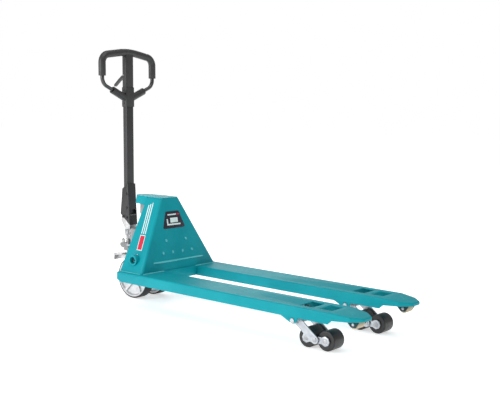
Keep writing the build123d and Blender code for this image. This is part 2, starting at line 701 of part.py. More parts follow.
with BuildPart() as pump_body:
    with BuildSketch(Plane.XY.offset(BEARING_HIGH)):
        with Locations((KINGPIN_X, 0)):
            RectangleRounded(2 * PUMP_REACH, 2 * PUMP_HALF, 35)
    extrude(amount=PUMP_HIGH - BEARING_HIGH)
    chamfer(pump_body.faces().filter_by(Axis.Z).sort_by(Axis.Z)[-1].edges(), 4)
    with BuildSketch(across(30)):
        with BuildLine():
            Polyline(
                (KINGPIN_X - 60, PUMP_HIGH - 8),
                (KINGPIN_X - 60, CHEEK_LOW),
                (PIVOT_X + 6, PIVOT_Z - 22),
                (PIVOT_X - 12, PIVOT_Z - 14),
                (PIVOT_X - 14, PIVOT_Z + 8),
                (PIVOT_X - 4, PIVOT_Z + 15),
                close=True,
            )
        make_face()
    extrude(amount=60)
    with BuildSketch(Plane.XY.offset(BEARING_HIGH - 10)):
        with Locations((PIVOT_X, 0)):
            Rectangle(62, 2 * (CAST_HALF + GAP))
    extrude(amount=100, mode=Mode.SUBTRACT)
    with BuildSketch(Plane.XY.offset(BLOCK_LOW)):
        with BuildLine():
            Polyline(
                (PLUNGER_X - BLOCK_HALF, -BLOCK_HALF),
                (KINGPIN_X - BLOCK_NEAR, -BLOCK_HALF),
                (KINGPIN_X - BLOCK_NEAR, BLOCK_HALF),
                (PLUNGER_X - BLOCK_HALF, BLOCK_HALF),
                close=True,
            )
        make_face()
        fillet(vertices().sort_by(Axis.X)[:2], 12)
    extrude(amount=BLOCK_HIGH - BLOCK_LOW)
    with BuildSketch(across(BLOCK_HALF)):
        with BuildLine():
            Polyline(
                (KINGPIN_X - 64, CHEEK_LOW + 14),
                (KINGPIN_X - 64, ARM_CLEAR),
                (KINGPIN_X - BLOCK_NEAR, ARM_CLEAR),
                (KINGPIN_X - BLOCK_NEAR, BLOCK_HIGH - 4),
                (KINGPIN_X - BLOCK_NEAR - 7, BLOCK_HIGH - 4),
                (KINGPIN_X - BLOCK_NEAR - 7, ARM_CLEAR + 5),
                (KINGPIN_X - BLOCK_NEAR - 2, ARM_CLEAR + 10),
                (KINGPIN_X - 78, ARM_CLEAR + 10),
                (KINGPIN_X - 78, CHEEK_LOW + 14),
                close=True,
            )
        make_face()
    extrude(amount=2 * BLOCK_HALF)
    with BuildSketch(across(VALVE_HALF)):
        with BuildLine():
            Polyline(
                (PLUNGER_X, BLOCK_LOW + 8),
                (VALVE_X + 8, BLOCK_LOW + 12),
                (VALVE_X, BLOCK_LOW + 20),
                (VALVE_X, BLOCK_HIGH - 6),
                (PLUNGER_X, BLOCK_HIGH - 2),
                close=True,
            )
        make_face()
    extrude(amount=2 * VALVE_HALF)
    with BuildSketch(Plane.XY.offset(BLOCK_HIGH)):
        with Locations((PLUNGER_X, 0)):
            Circle(PLUNGER_R + FIT)
    extrude(amount=BLOCK_LOW + 3 - BLOCK_HIGH, mode=Mode.SUBTRACT)
    with BuildSketch(Plane.XY.offset(PUMP_HIGH)):
        with Locations((KINGPIN_X, 0)):
            Circle(CYLINDER_R)
    extrude(amount=BEARING_HIGH + 6 - PUMP_HIGH, mode=Mode.SUBTRACT)
    with BuildSketch(across(30)):
        with Locations((PIVOT_X, PIVOT_Z)):
            Circle(PIVOT_R)
    extrude(amount=60, mode=Mode.SUBTRACT)
    with BuildSketch(Plane.XY.offset(PUMP_HIGH)):
        with Locations((KINGPIN_X + 58, 0)):
            Circle(9)
    extrude(amount=-16, mode=Mode.SUBTRACT)
pump_body.part.label = "pump_body"
export_step(pump_body.part, "parts/pump_body.step")

with BuildPart() as cylinder:
    with BuildSketch(Plane.XY.offset(BEARING_HIGH + 6)):
        with Locations((KINGPIN_X, 0)):
            Circle(CYLINDER_R)
    extrude(amount=CYLINDER_HIGH - BEARING_HIGH - 6)
    with BuildSketch(Plane.XY.offset(CYLINDER_HIGH)):
        with Locations((KINGPIN_X, 0)):
            Circle(RAM_R + FIT)
    extrude(amount=BEARING_HIGH + 9 - CYLINDER_HIGH, mode=Mode.SUBTRACT)
    chamfer(cylinder.edges().filter_by(GeomType.CIRCLE).sort_by(Axis.Z)[-1], 1)
cylinder.part.label = "ram_cylinder"
export_step(cylinder.part, "parts/ram_cylinder.step")

with BuildPart() as pump_plugs:
    with BuildSketch(Plane.XY.offset(PUMP_HIGH - 16)):
        with Locations((KINGPIN_X + 58, 0)):
            Circle(9)
    extrude(amount=16)
    with BuildSketch(Plane.XY.offset(PUMP_HIGH)):
        with Locations((KINGPIN_X + 58, 0)):
            RegularPolygon(12, 6)
    extrude(amount=7)
    for y in (PUMP_HALF + 8, -PUMP_HALF):
        for step in (-14, 14):
            with BuildSketch(across(y)):
                with Locations((KINGPIN_X + step, BEARING_HIGH + 24)):
                    RegularPolygon(10, 6)
            extrude(amount=8)
pump_plugs.part.label = "pump_plugs"
export_step(pump_plugs.part, "parts/pump_plugs.step")

with BuildPart() as unit_pins:
    with BuildSketch(across(34)):
        with Locations((PIVOT_X, PIVOT_Z)):
            Circle(PIVOT_R)
    extrude(amount=68)
    with BuildSketch(across(15)):
        with Locations((PEDAL_X, PEDAL_Z)):
            Circle(PEDAL_PIN_R)
    extrude(amount=30)
unit_pins.part.label = "unit_pins"
export_step(unit_pins.part, "parts/unit_pins.step")

CAP_THICK = 6.0
with BuildPart() as pump_plunger:
    with BuildSketch(Plane.XY.offset(PLUNGER_TOP)):
        with Locations((PLUNGER_X, 0)):
            Circle(PLUNGER_CAP_R)
    extrude(amount=-CAP_THICK)
    with BuildSketch(Plane.XY.offset(PLUNGER_TOP)):
        with Locations((PLUNGER_X, 0)):
            Circle(PLUNGER_R)
    extrude(amount=BLOCK_LOW + 29 - PLUNGER_TOP)
pump_plunger.part.label = "pump_plunger"
export_step(pump_plunger.part, "parts/pump_plunger.step")

spring_room = PLUNGER_TOP - CAP_THICK - BLOCK_HIGH
WIRE_R = 1.4
SPRING_TURNS = 5
with BuildPart() as plunger_spring:
    with BuildLine(Plane(origin=(PLUNGER_X, 0, BLOCK_HIGH + WIRE_R + 0.1))):
        spring_rise = spring_room - 2 * WIRE_R - 0.2
        coil = Helix(spring_rise / SPRING_TURNS, spring_rise, PLUNGER_R + WIRE_R + 0.6)
    with BuildSketch(Plane(origin=coil @ 0, z_dir=coil % 0)):
        Circle(WIRE_R)
    sweep(path=coil, is_frenet=True)
plunger_spring.part.label = "plunger_spring"
export_step(plunger_spring.part, "parts/plunger_spring.step")

with BuildPart() as release_pedal:
    with BuildSketch(across(8)):
        with BuildLine():
            Polyline(
                (PEDAL_X + 7, PEDAL_Z + 8),
                (PEDAL_X + 7, PEDAL_Z - 8),
                (PEDAL_TIP_X + 30, PEDAL_Z - 10),
                (PEDAL_TIP_X + 5, PEDAL_Z - 6),
                (PEDAL_TIP_X + 5, PEDAL_Z + 8),
                (PEDAL_TIP_X + 40, PEDAL_Z + 12),
                close=True,
            )
        make_face()
    extrude(amount=16)
    with BuildSketch(across(32)):
        with BuildLine():
            Polyline(
                (PEDAL_TIP_X, PEDAL_Z + 14),
                (PEDAL_TIP_X + 2, PEDAL_Z - 17),
                (PEDAL_TIP_X + 8, PEDAL_Z - 17),
                (PEDAL_TIP_X + 10, PEDAL_Z + 6),
                (PEDAL_TIP_X + 62, PEDAL_Z + 13),
                (PEDAL_TIP_X + 62, PEDAL_Z + 19),
                close=True,
            )
        make_face()
    extrude(amount=64)
    with BuildSketch(across(8)):
        with Locations((PEDAL_X, PEDAL_Z)):
            Circle(PEDAL_PIN_R + FIT)
    extrude(amount=16, mode=Mode.SUBTRACT)
release_pedal.part.label = "release_pedal"
export_step(release_pedal.part, "parts/release_pedal.step")

# ======================================================================================
# Rocker, push rods and load wheel arms
# ======================================================================================
rod_lean = radians(ROD_PIN_LEAN)
rod_pin_x = ROCKER_X + ROD_PIN_DROP * sin(rod_lean)
rod_pin_z = ROCKER_Z - ROD_PIN_DROP * cos(rod_lean)
SLOT_HALF = 12.0
slot_z = COLLAR_PIN_Z - 0.5
with BuildPart() as rocker_arms:
    for y in (ROCKER_ARM_IN + ROCKER_ARM, -ROCKER_ARM_IN):
        with BuildSketch(across(y)):
            with BuildLine():
                Polyline(
                    (ROCKER_X + 14, ROCKER_Z + 22),
                    (ROCKER_X - 60, ROCKER_Z + 58),
                    (ROCKER_X - 112, slot_z + SLOT_HALF + 10),
                    (KINGPIN_X - 38, slot_z + SLOT_HALF + 9),
                    (KINGPIN_X - 38, slot_z - SLOT_HALF - 9),
                    (ROCKER_X - 112, slot_z - SLOT_HALF - 9),
                    (ROCKER_X - 70, ROCKER_Z + 5),
                    (ROCKER_X - 12, ROCKER_Z - 24),
                    (ROCKER_X + 14, ROCKER_Z - 22),
                    close=True,
                )
            make_face()
            with Locations((ROCKER_X, ROCKER_Z)):
                Circle(ROCKER_R, mode=Mode.SUBTRACT)
            with Locations((KINGPIN_X - 20, slot_z)):
                Rectangle(76, 2 * SLOT_HALF, mode=Mode.SUBTRACT)
        extrude(amount=ROCKER_ARM)
    for side, sign in SIDES:
        rod_y = sign * (FORK_Y - ROD_IN)
        for y in (rod_y + 13, rod_y - 7):
            with BuildSketch(across(y)):
                with Locations((ROCKER_X, ROCKER_Z)):
                    Circle(23)
                with Locations((rod_pin_x, rod_pin_z)):
                    Circle(13)
                with BuildLine():
                    Polyline(
                        (ROCKER_X - 22, ROCKER_Z - 6),
                        (rod_pin_x - 13, rod_pin_z),
                        (rod_pin_x + 13, rod_pin_z),
                        (ROCKER_X + 22, ROCKER_Z - 6),
                        close=True,
                    )
                make_face()
                with Locations((ROCKER_X, ROCKER_Z)):
                    Circle(ROCKER_R, mode=Mode.SUBTRACT)
                with Locations((rod_pin_x, rod_pin_z)):
                    Circle(ROD_PIN_R, mode=Mode.SUBTRACT)
            extrude(amount=6)
rocker_arms.part.label = "rocker_arms"
export_step(rocker_arms.part, "parts/rocker_arms.step")

with BuildPart() as rocker_shafts:
    with BuildSketch(across(SHAFT_END)):
        with Locations((ROCKER_X, ROCKER_Z)):
            Circle(ROCKER_R)
            Circle(ROCKER_R - 6, mode=Mode.SUBTRACT)
    extrude(amount=2 * SHAFT_END)
    for side, sign in SIDES:
        with BuildSketch(across(sign * (FORK_Y - ROD_IN) + 14)):
            with Locations((rod_pin_x, rod_pin_z)):
                Circle(ROD_PIN_R)
        extrude(amount=28)
rocker_shafts.part.label = "rocker_shafts"
export_step(rocker_shafts.part, "parts/rocker_shafts.step")

lever_x = ARM_PIVOT_X + LEVER_R * sin(radians(LEVER_LEAN))
lever_z = ARM_PIVOT_Z + LEVER_R * cos(radians(LEVER_LEAN))
EYE_HALF = 6.4
for side, sign in SIDES:
    centre = sign * FORK_Y
    rod_y = sign * (FORK_Y - ROD_IN)
    with BuildPart() as push_rod:
        with BuildSketch(across(rod_y + EYE_HALF)):
            with Locations((rod_pin_x, rod_pin_z)):
                Circle(13)
            with BuildLine():
                Polyline(
                    (rod_pin_x - 4, rod_pin_z + 12),
                    (rod_pin_x - 10, rod_pin_z - 8),
                    (rod_pin_x + 12, ROD_Z - ROD_R),
                    (rod_pin_x + 60, ROD_Z - ROD_R),
                    (rod_pin_x + 60, ROD_Z + ROD_R),
                    (rod_pin_x + 34, ROD_Z + ROD_R),
                    (rod_pin_x + 6, rod_pin_z + 11),
                    close=True,
                )
            make_face()
            with Locations((rod_pin_x, rod_pin_z)):
                Circle(ROD_PIN_R + FIT, mode=Mode.SUBTRACT)
        extrude(amount=2 * EYE_HALF)
        with BuildSketch(Plane.YZ.offset(rod_pin_x + 50)):
            with Locations((rod_y, ROD_Z)):
                Circle(ROD_R)
        extrude(amount=lever_x - 50 - rod_pin_x - 50)
        with BuildSketch(across(rod_y + EYE_HALF)):
            with BuildLine():
                Polyline(
                    (lever_x - 60, ROD_Z - ROD_R),
                    (lever_x - 14, ROD_Z - 22),
                    (lever_x + 13, ROD_Z - 22),
                    (lever_x + 13, lever_z + 11),
                    (lever_x - 14, lever_z + 11),
                    (lever_x - 60, ROD_Z + ROD_R),
                    close=True,
                )
            make_face()
            with Locations((lever_x, lever_z - 4.2)):
                Rectangle(2 * LEVER_PIN_R + 1.4, 2 * LEVER_PIN_R + 11.6, mode=Mode.SUBTRACT)
        extrude(amount=2 * EYE_HALF)
    push_rod.part.label = f"{side}_push_rod"
    export_step(push_rod.part, f"parts/{side}_push_rod.step")

    with BuildPart() as roller_arm:
        with BuildSketch(across(centre + LUG_IN - 2)):
            with Locations((ARM_PIVOT_X, ARM_PIVOT_Z)):
                Circle(17)
        extrude(amount=2 * (LUG_IN - 2))
        for y in (centre + ARM_OUT, centre - ARM_IN):
            with BuildSketch(across(y)):
                with Locations((ARM_PIVOT_X, ARM_PIVOT_Z)):
                    Circle(17)
                with Locations((BOGIE_X, BOGIE_Z)):
                    Circle(16)
                with BuildLine():
                    run = Vector(BOGIE_X - ARM_PIVOT_X, BOGIE_Z - ARM_PIVOT_Z).normalized()
                    Polyline(
                        (ARM_PIVOT_X - 17 * run.Y, ARM_PIVOT_Z + 17 * run.X),
                        (BOGIE_X - 16 * run.Y, BOGIE_Z + 16 * run.X),
                        (BOGIE_X + 16 * run.Y, BOGIE_Z - 16 * run.X),
                        (ARM_PIVOT_X + 17 * run.Y, ARM_PIVOT_Z - 17 * run.X),
                        close=True,
                    )
                make_face()
                with Locations((BOGIE_X, BOGIE_Z)):
                    Circle(STUB_R + FIT, mode=Mode.SUBTRACT)
            extrude(amount=LINK)
        for y in (rod_y + LEVER_IN + LINK, rod_y - LEVER_IN):
            with BuildSketch(across(y)):
                with Locations((lever_x, lever_z)):
                    Circle(10)
                with BuildLine():
                    Polyline(
                        (lever_x - 10, lever_z),
                        (lever_x + 10, lever_z),
                        (ARM_PIVOT_X + 14, ARM_PIVOT_Z),
                        (ARM_PIVOT_X - 14, ARM_PIVOT_Z),
                        close=True,
                    )
                make_face()
            extrude(amount=LINK)
        with BuildSketch(across(rod_y + LEVER_IN + LINK)):
            with Locations((lever_x, lever_z)):
                Circle(LEVER_PIN_R)
        extrude(amount=2 * (LEVER_IN + LINK))
        with BuildSketch(across(centre + LUG_IN)):
            with Locations((ARM_PIVOT_X, ARM_PIVOT_Z)):
                Circle(ARM_PIN_R + FIT)
        extrude(amount=2 * LUG_IN, mode=Mode.SUBTRACT)
    roller_arm.part.label = f"{side}_roller_arm"
    export_step(roller_arm.part, f"parts/{side}_roller_arm.step")

    with BuildPart() as bogie_links:
        for y in (centre + LINK_OUT, centre - LINK_IN):
            with BuildSketch(across(y)):
                with Locations((BOGIE_X - ROLLER_PITCH / 2, BOGIE_Z), (BOGIE_X + ROLLER_PITCH / 2, BOGIE_Z)):
                    RegularPolygon(20, 8)
                with Locations((BOGIE_X, BOGIE_Z)):
                    Rectangle(ROLLER_PITCH, 26)
                with Locations((BOGIE_X - ROLLER_PITCH / 2, BOGIE_Z), (BOGIE_X + ROLLER_PITCH / 2, BOGIE_Z)):
                    Circle(ROLLER_BORE_R, mode=Mode.SUBTRACT)
                with Locations((BOGIE_X, BOGIE_Z)):
                    Circle(STUB_R + FIT, mode=Mode.SUBTRACT)
            extrude(amount=LINK)
    bogie_links.part.label = f"{side}_bogie_links"
    export_step(bogie_links.part, f"parts/{side}_bogie_links.step")

    with BuildPart() as bogie_axles:
        for step in (-ROLLER_PITCH / 2, ROLLER_PITCH / 2):
            with BuildSketch(across(centre + LINK_OUT + 1)):
                with Locations((BOGIE_X + step, BOGIE_Z)):
                    Circle(ROLLER_BORE_R)
            extrude(amount=2 * (LINK_OUT + 1))
    bogie_axles.part.label = f"{side}_bogie_axles"
    export_step(bogie_axles.part, f"parts/{side}_bogie_axles.step")

    with BuildPart() as bogie_pins:
        for y in (centre + ARM_OUT + 2, centre - LINK_IN):
            with BuildSketch(across(y)):
                with Locations((BOGIE_X, BOGIE_Z)):
                    Circle(STUB_R)
            extrude(amount=ARM_OUT + 2 - LINK_IN)
    bogie_pins.part.label = f"{side}_bogie_pins"
    export_step(bogie_pins.part, f"parts/{side}_bogie_pins.step")

    for place, step in (("front", ROLLER_PITCH / 2), ("rear", -ROLLER_PITCH / 2)):
        with BuildPart() as load_roller:
            with BuildSketch(across(centre + ROLLER_WIDTH / 2)):
                with Locations((BOGIE_X + step, BOGIE_Z)):
                    Circle(ROLLER_R)
                    Circle(ROLLER_BORE_R + FIT, mode=Mode.SUBTRACT)
            extrude(amount=ROLLER_WIDTH)
            outer_edges = load_roller.edges().filter_by(lambda e: e.length > 2 * 3.14 * (ROLLER_R - 1))
            fillet(outer_edges, 4)
        load_roller.part.label = f"{side}_{place}_roller"
        export_step(load_roller.part, f"parts/{side}_{place}_roller.step")

# ======================================================================================
# Handle
# ======================================================================================
cam_x = AXIS_BACK - CAM_ARM * cos(radians(CAM_ANGLE))
cam_y = CAM_ARM * sin(radians(CAM_ANGLE))
CAM_HALF = PLUNGER_CAP_R + 0.5
ROD_PULL_R = 3.0
BOLT_R = 3.0
BOLT_SPOTS = ((9, 72), (-16, 76), (8, 120), (8, 190))
with BuildPart() as handle_casting:
    with BuildSketch(handle_side()):
        with BuildLine():
            Polyline(
                (AXIS_BACK + 14, 0),
                (AXIS_BACK + 14, 86),
                (-TUBE_X / 2 - 12, 86),
                (-TUBE_X / 2 - 12, 84),
                (AXIS_BACK - 48, 60),
                (AXIS_BACK - 30, 30),
                (AXIS_BACK - 23.5, 14),
                (AXIS_BACK - 22, 6),
                (AXIS_BACK - 12, 0),
                close=True,
            )
        make_face()
        with Locations((AXIS_BACK, 0)):
            Circle(14)
    extrude(amount=CAST_HALF, both=True)
    with BuildSketch(handle_side()):
        with Locations((cam_x - 7, cam_y - 8)):
            Rectangle(70, 58)
    extrude(amount=CAM_HALF, both=True, mode=Mode.SUBTRACT)
    with BuildSketch(handle_side()):
        with Locations((AXIS_BACK, 0)):
            Circle(PIVOT_R + FIT)
        with Locations((cam_x, cam_y)):
            Circle(CAM_PIN_R)
        with Locations(*BOLT_SPOTS[:2]):
            Circle(BOLT_R)
    extrude(amount=CAST_HALF, both=True, mode=Mode.SUBTRACT)
    with BuildSketch(handle_plane(90)):
        Circle(ROD_PULL_R + 0.4)
    extrude(amount=-64, mode=Mode.SUBTRACT)
handle_casting.part.label = "handle_casting"
export_step(handle_casting.part, "parts/handle_casting.step")

with BuildPart() as cam_roller:
    with BuildSketch(handle_side()):
        with Locations((cam_x, cam_y)):
            Circle(CAM_R)
            Circle(CAM_PIN_R + FIT, mode=Mode.SUBTRACT)
    extrude(amount=CAM_HALF - GAP, both=True)
cam_roller.part.label = "cam_roller"
export_step(cam_roller.part, "parts/cam_roller.step")

bracket_half = CAST_HALF + BRACKET_WALL
with BuildPart() as handle_bracket:
    with BuildSketch(handle_side()):
        with BuildLine():
            Polyline(
                (AXIS_BACK + 17, 36),
                (TUBE_X / 2 + BRACKET_WALL, 239),
                (TUBE_X / 2, 239),
                (-TUBE_X / 2 - 6, 215),
                (-TUBE_X / 2 - 21, 90),
                close=True,
            )
        make_face()
    extrude(amount=bracket_half, both=True)
    with BuildSketch(handle_side()):
        with BuildLine():
            Polyline(
                (AXIS_BACK + 14, 0),
                (AXIS_BACK + 14, 92),
                (TUBE_X / 2, 240),
                (-TUBE_X / 2 - 60, 240),
                (-TUBE_X / 2 - 60, 0),
                close=True,
            )
        make_face()
    extrude(amount=CAST_HALF, both=True, mode=Mode.SUBTRACT)
    with BuildSketch(handle_side()):
        with Locations(*BOLT_SPOTS):
            Circle(BOLT_R)
    extrude(amount=bracket_half, both=True, mode=Mode.SUBTRACT)
handle_bracket.part.label = "handle_bracket"
export_step(handle_bracket.part, "parts/handle_bracket.step")

with BuildPart() as handle_bolts:
    for spot in BOLT_SPOTS:
        with BuildSketch(handle_side()):
            with Locations(spot):
                Circle(BOLT_R)
        extrude(amount=bracket_half + 5, both=True)
        for y in (-bracket_half, bracket_half + 4):
            with BuildSketch(handle_side().offset(-y)):
                with Locations(spot):
                    RegularPolygon(6.5, 6)
            extrude(amount=4)
handle_bolts.part.label = "handle_bolts"
export_step(handle_bolts.part, "parts/handle_bolts.step")

with BuildPart() as handle_tube:
    with BuildSketch(handle_plane(TUBE_LOW)):
        RectangleRounded(TUBE_X, TUBE_Y, 5)
        RectangleRounded(TUBE_X - 2 * TUBE_WALL, TUBE_Y - 2 * TUBE_WALL, 3, mode=Mode.SUBTRACT)
    extrude(amount=TUBE_HIGH - TUBE_LOW)
    for spot in BOLT_SPOTS[2:]:
        with BuildSketch(handle_side()):
            with Locations(spot):
                Circle(BOLT_R)
        extrude(amount=TUBE_Y, both=True, mode=Mode.SUBTRACT)
handle_tube.part.label = "handle_tube"
export_step(handle_tube.part, "parts/handle_tube.step")

SOCKET_R = 17.5
root = Vector(0, ROOT_H)
elbow = Vector(LOOP_HALF, LOOP_LOW)
arm_dir = (elbow - root).normalized()
SOCKET_REACH = 112.0
with BuildPart() as loop_socket:
    with BuildSketch(handle_plane(SLEEVE_LOW)):
        RectangleRounded(TUBE_X + 7, TUBE_Y + 8, 6)
    extrude(amount=TUBE_HIGH - SLEEVE_LOW)
    for side, sign in SIDES:
        start = handle_front().from_local_coords(Vector(0, ROOT_H, 0))
        aim = handle_front().from_local_coords(Vector(sign * arm_dir.X, ROOT_H + arm_dir.Y, 0)) - start
        with BuildSketch(Plane(origin=start, z_dir=aim)):
            Circle(SOCKET_R)
        extrude(amount=SOCKET_REACH)
    with BuildSketch(handle_plane(SLEEVE_LOW - 60)):
        RectangleRounded(TUBE_X, TUBE_Y, 5)
    extrude(amount=TUBE_HIGH - SLEEVE_LOW + 120, mode=Mode.SUBTRACT)
    for side, sign in SIDES:
        tip = root + arm_dir * SOCKET_REACH
        start = handle_front().from_local_coords(Vector(sign * tip.X, tip.Y, 0))
        inner = root + arm_dir * (SOCKET_REACH - 45)
        aim = handle_front().from_local_coords(Vector(sign * inner.X, inner.Y, 0)) - start
        with BuildSketch(Plane(origin=start, z_dir=aim)):
            Circle(THIN_R)
        extrude(amount=45, mode=Mode.SUBTRACT)
    with BuildSketch(handle_side()):
        with Locations((0, SLEEVE_LOW + 18), (0, TUBE_HIGH - 14)):
            Circle(BOLT_R)
    extrude(amount=TUBE_Y, both=True, mode=Mode.SUBTRACT)
loop_socket.part.label = "loop_socket"
export_step(loop_socket.part, "parts/loop_socket.step")

with BuildPart() as loop_tubes:
    for side, sign in SIDES:
        inner = root + arm_dir * (SOCKET_REACH - 45)
        with BuildLine(handle_front()):
            FilletPolyline(
                (sign * inner.X, inner.Y),
                (sign * LOOP_HALF, LOOP_LOW),
                (sign * LOOP_HALF, GRIP_LOW + 14),
                radius=45,
            )
        start = handle_front().from_local_coords(Vector(sign * inner.X, inner.Y, 0))
        aim = handle_front().from_local_coords(Vector(sign * LOOP_HALF, LOOP_LOW, 0)) - start
        with BuildSketch(Plane(origin=start, z_dir=aim)):
            Circle(THIN_R)
        sweep()
loop_tubes.part.label = "loop_tubes"
export_step(loop_tubes.part, "parts/loop_tubes.step")

CORNER_R = 42.0  # grip corners, on the centre line
CROWN_R = 390.0
crown_bend = atan2(LOOP_CROWN, LOOP_HALF)
crown_h = LOOP_TOP + CROWN_R * (1 / cos(crown_bend) - 1)
with BuildPart() as loop_grip:
    with BuildLine(handle_front()):
        FilletPolyline(
            (-LOOP_HALF, GRIP_LOW),
            (-LOOP_HALF, crown_h - LOOP_CROWN),
            (0, crown_h),
            (LOOP_HALF, crown_h - LOOP_CROWN),
            (LOOP_HALF, GRIP_LOW),
            radius=[CORNER_R, CROWN_R, CORNER_R],
        )
    with BuildSketch(
        Plane(
            origin=handle_front().from_local_coords(Vector(-LOOP_HALF, GRIP_LOW, 0)),
            z_dir=handle_plane().z_dir,
        )
    ):
        Circle(GRIP_R)
    sweep()
    for side, sign in SIDES:
        with BuildSketch(handle_plane(GRIP_LOW)):
            with Locations((0, sign * LOOP_HALF)):
                Circle(THIN_R)
        extrude(amount=14, mode=Mode.SUBTRACT)
loop_grip.part.label = "loop_grip"
export_step(loop_grip.part, "parts/loop_grip.step")

LEVER_HALF = 9.0
LEVER_PIVOT_R = 4.0
with BuildPart() as control_column:
    with BuildSketch(handle_plane(TUBE_HIGH)):
        RectangleRounded(COLUMN_X, COLUMN_Y, 6)
    extrude(amount=LOOP_TOP - TUBE_HIGH)
    with BuildSketch(handle_plane(TUBE_HIGH)):
        RectangleRounded(COLUMN_X - 10, COLUMN_Y - 10, 3)
    extrude(amount=LOOP_TOP - 30 - TUBE_HIGH, mode=Mode.SUBTRACT)
    add(loop_grip.part, mode=Mode.SUBTRACT)
    with BuildSketch(handle_side()):
        with Locations((-COLUMN_X / 2, LEVER_H - 4)):
            Rectangle(14, 74)
    extrude(amount=LEVER_HALF + 2, both=True, mode=Mode.SUBTRACT)
    with BuildSketch(handle_side()):
        with Locations((-LEVER_BACK, LEVER_H)):
            Circle(LEVER_PIVOT_R)
    extrude(amount=COLUMN_Y, both=True, mode=Mode.SUBTRACT)
control_column.part.label = "control_column"
export_step(control_column.part, "parts/control_column.step")

with BuildPart() as handle_pins:
    with BuildSketch(handle_side()):
        with Locations((-LEVER_BACK, LEVER_H)):
            Circle(LEVER_PIVOT_R)
    extrude(amount=COLUMN_Y / 2 + 1, both=True)
    with BuildSketch(handle_side()):
        with Locations((cam_x, cam_y)):
            Circle(CAM_PIN_R)
    extrude(amount=CAST_HALF, both=True)
handle_pins.part.label = "handle_pins"
export_step(handle_pins.part, "parts/handle_pins.step")

lever_fall_h = LEVER_H - LEVER_FALL
with BuildPart() as control_lever:
    with BuildSketch(handle_side()):
        with Locations((-LEVER_BACK, LEVER_H)):
            Circle(7)
        with Locations((0, LEVER_H)):
            Circle(4)
            Rectangle(LEVER_BACK, 7)
        with BuildLine():
            Polyline(
                (-10, LEVER_H + 6.5),
                (-32, LEVER_H + 2),
                (-58, LEVER_H - 16),
                (-LEVER_REACH, lever_fall_h + LEVER_TIP),
                (-LEVER_REACH, lever_fall_h),
                (-60, LEVER_H - 29),
                (-32, LEVER_H - 12),
                (-10, LEVER_H - 6.5),
                close=True,
            )
        make_face()
    extrude(amount=LEVER_HALF, both=True)
    with BuildSketch(handle_side()):
        with Locations((-LEVER_BACK, LEVER_H)):
            Circle(LEVER_PIVOT_R + FIT)
    extrude(amount=LEVER_HALF, both=True, mode=Mode.SUBTRACT)
control_lever.part.label = "control_lever"
export_step(control_lever.part, "parts/control_lever.step")

with BuildPart() as pull_rod:
    with BuildSketch(handle_plane(48)):
        Circle(ROD_PULL_R)
    extrude(amount=LEVER_H - 4.8 - 48)
    chamfer(pull_rod.edges().filter_by(GeomType.CIRCLE).sort_by(Axis.Z)[-1], ROD_PULL_R / 2)
pull_rod.part.label = "pull_rod"
export_step(pull_rod.part, "parts/pull_rod.step")
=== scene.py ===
"""Looks of a hand pallet truck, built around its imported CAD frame.

Each class is one sub-assembly of the truck. Its fields are its sizes in millimetres, and its
methods model the pieces and dress them in the finishes that stand near the top.
"""

from __future__ import annotations

import json
import logging
import math
from dataclasses import dataclass
from enum import Enum
from typing import Sequence

import bpy
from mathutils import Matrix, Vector

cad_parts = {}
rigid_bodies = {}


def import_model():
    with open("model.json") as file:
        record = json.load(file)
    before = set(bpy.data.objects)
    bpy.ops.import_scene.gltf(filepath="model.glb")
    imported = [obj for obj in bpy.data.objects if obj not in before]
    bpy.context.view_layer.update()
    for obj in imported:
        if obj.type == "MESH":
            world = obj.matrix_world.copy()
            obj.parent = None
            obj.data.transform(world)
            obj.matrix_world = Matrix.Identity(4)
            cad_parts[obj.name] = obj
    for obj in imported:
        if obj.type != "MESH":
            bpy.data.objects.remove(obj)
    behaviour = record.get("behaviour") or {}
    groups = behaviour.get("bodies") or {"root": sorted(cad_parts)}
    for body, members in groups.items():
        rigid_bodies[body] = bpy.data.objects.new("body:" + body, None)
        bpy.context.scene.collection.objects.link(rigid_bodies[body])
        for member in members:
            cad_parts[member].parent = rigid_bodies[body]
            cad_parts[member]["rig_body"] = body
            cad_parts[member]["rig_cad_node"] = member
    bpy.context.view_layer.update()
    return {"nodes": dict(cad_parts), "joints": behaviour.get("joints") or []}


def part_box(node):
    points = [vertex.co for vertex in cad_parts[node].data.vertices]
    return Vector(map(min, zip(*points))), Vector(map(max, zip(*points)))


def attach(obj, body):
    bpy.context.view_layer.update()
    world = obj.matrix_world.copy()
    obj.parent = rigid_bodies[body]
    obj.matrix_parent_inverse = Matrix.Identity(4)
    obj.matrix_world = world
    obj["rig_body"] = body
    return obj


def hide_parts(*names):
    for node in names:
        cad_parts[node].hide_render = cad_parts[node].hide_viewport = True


MM = 0.001
SIDES = (("left", 1.0), ("right", -1.0))
WHITE = (1.0, 1.0, 1.0, 1.0)
ALONG_Y = (0.0, 1.0, 0.0)
log = logging.getLogger("pallet_truck")

Point = Sequence[float]
Piece = bpy.types.Object
Tree = bpy.types.NodeTree
Socket = bpy.types.NodeSocket

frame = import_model()


# ======================================================================================
# Materials
# ======================================================================================
def linear(code: str) -> tuple[float, float, float, float]:
    """Turns an sRGB hex colour into linear values.

    Args:
        code: Colour such as "#1a9aa4".

    Returns:
        Red, green, blue and an alpha of one.
    """
    values = [int(code[i : i + 2], 16) / 255 for i in (1, 3, 5)]
    lit = [v / 12.92 if v <= 0.04045 else ((v + 0.055) / 1.055) ** 2.4 for v in values]
    return (lit[0], lit[1], lit[2], 1.0)


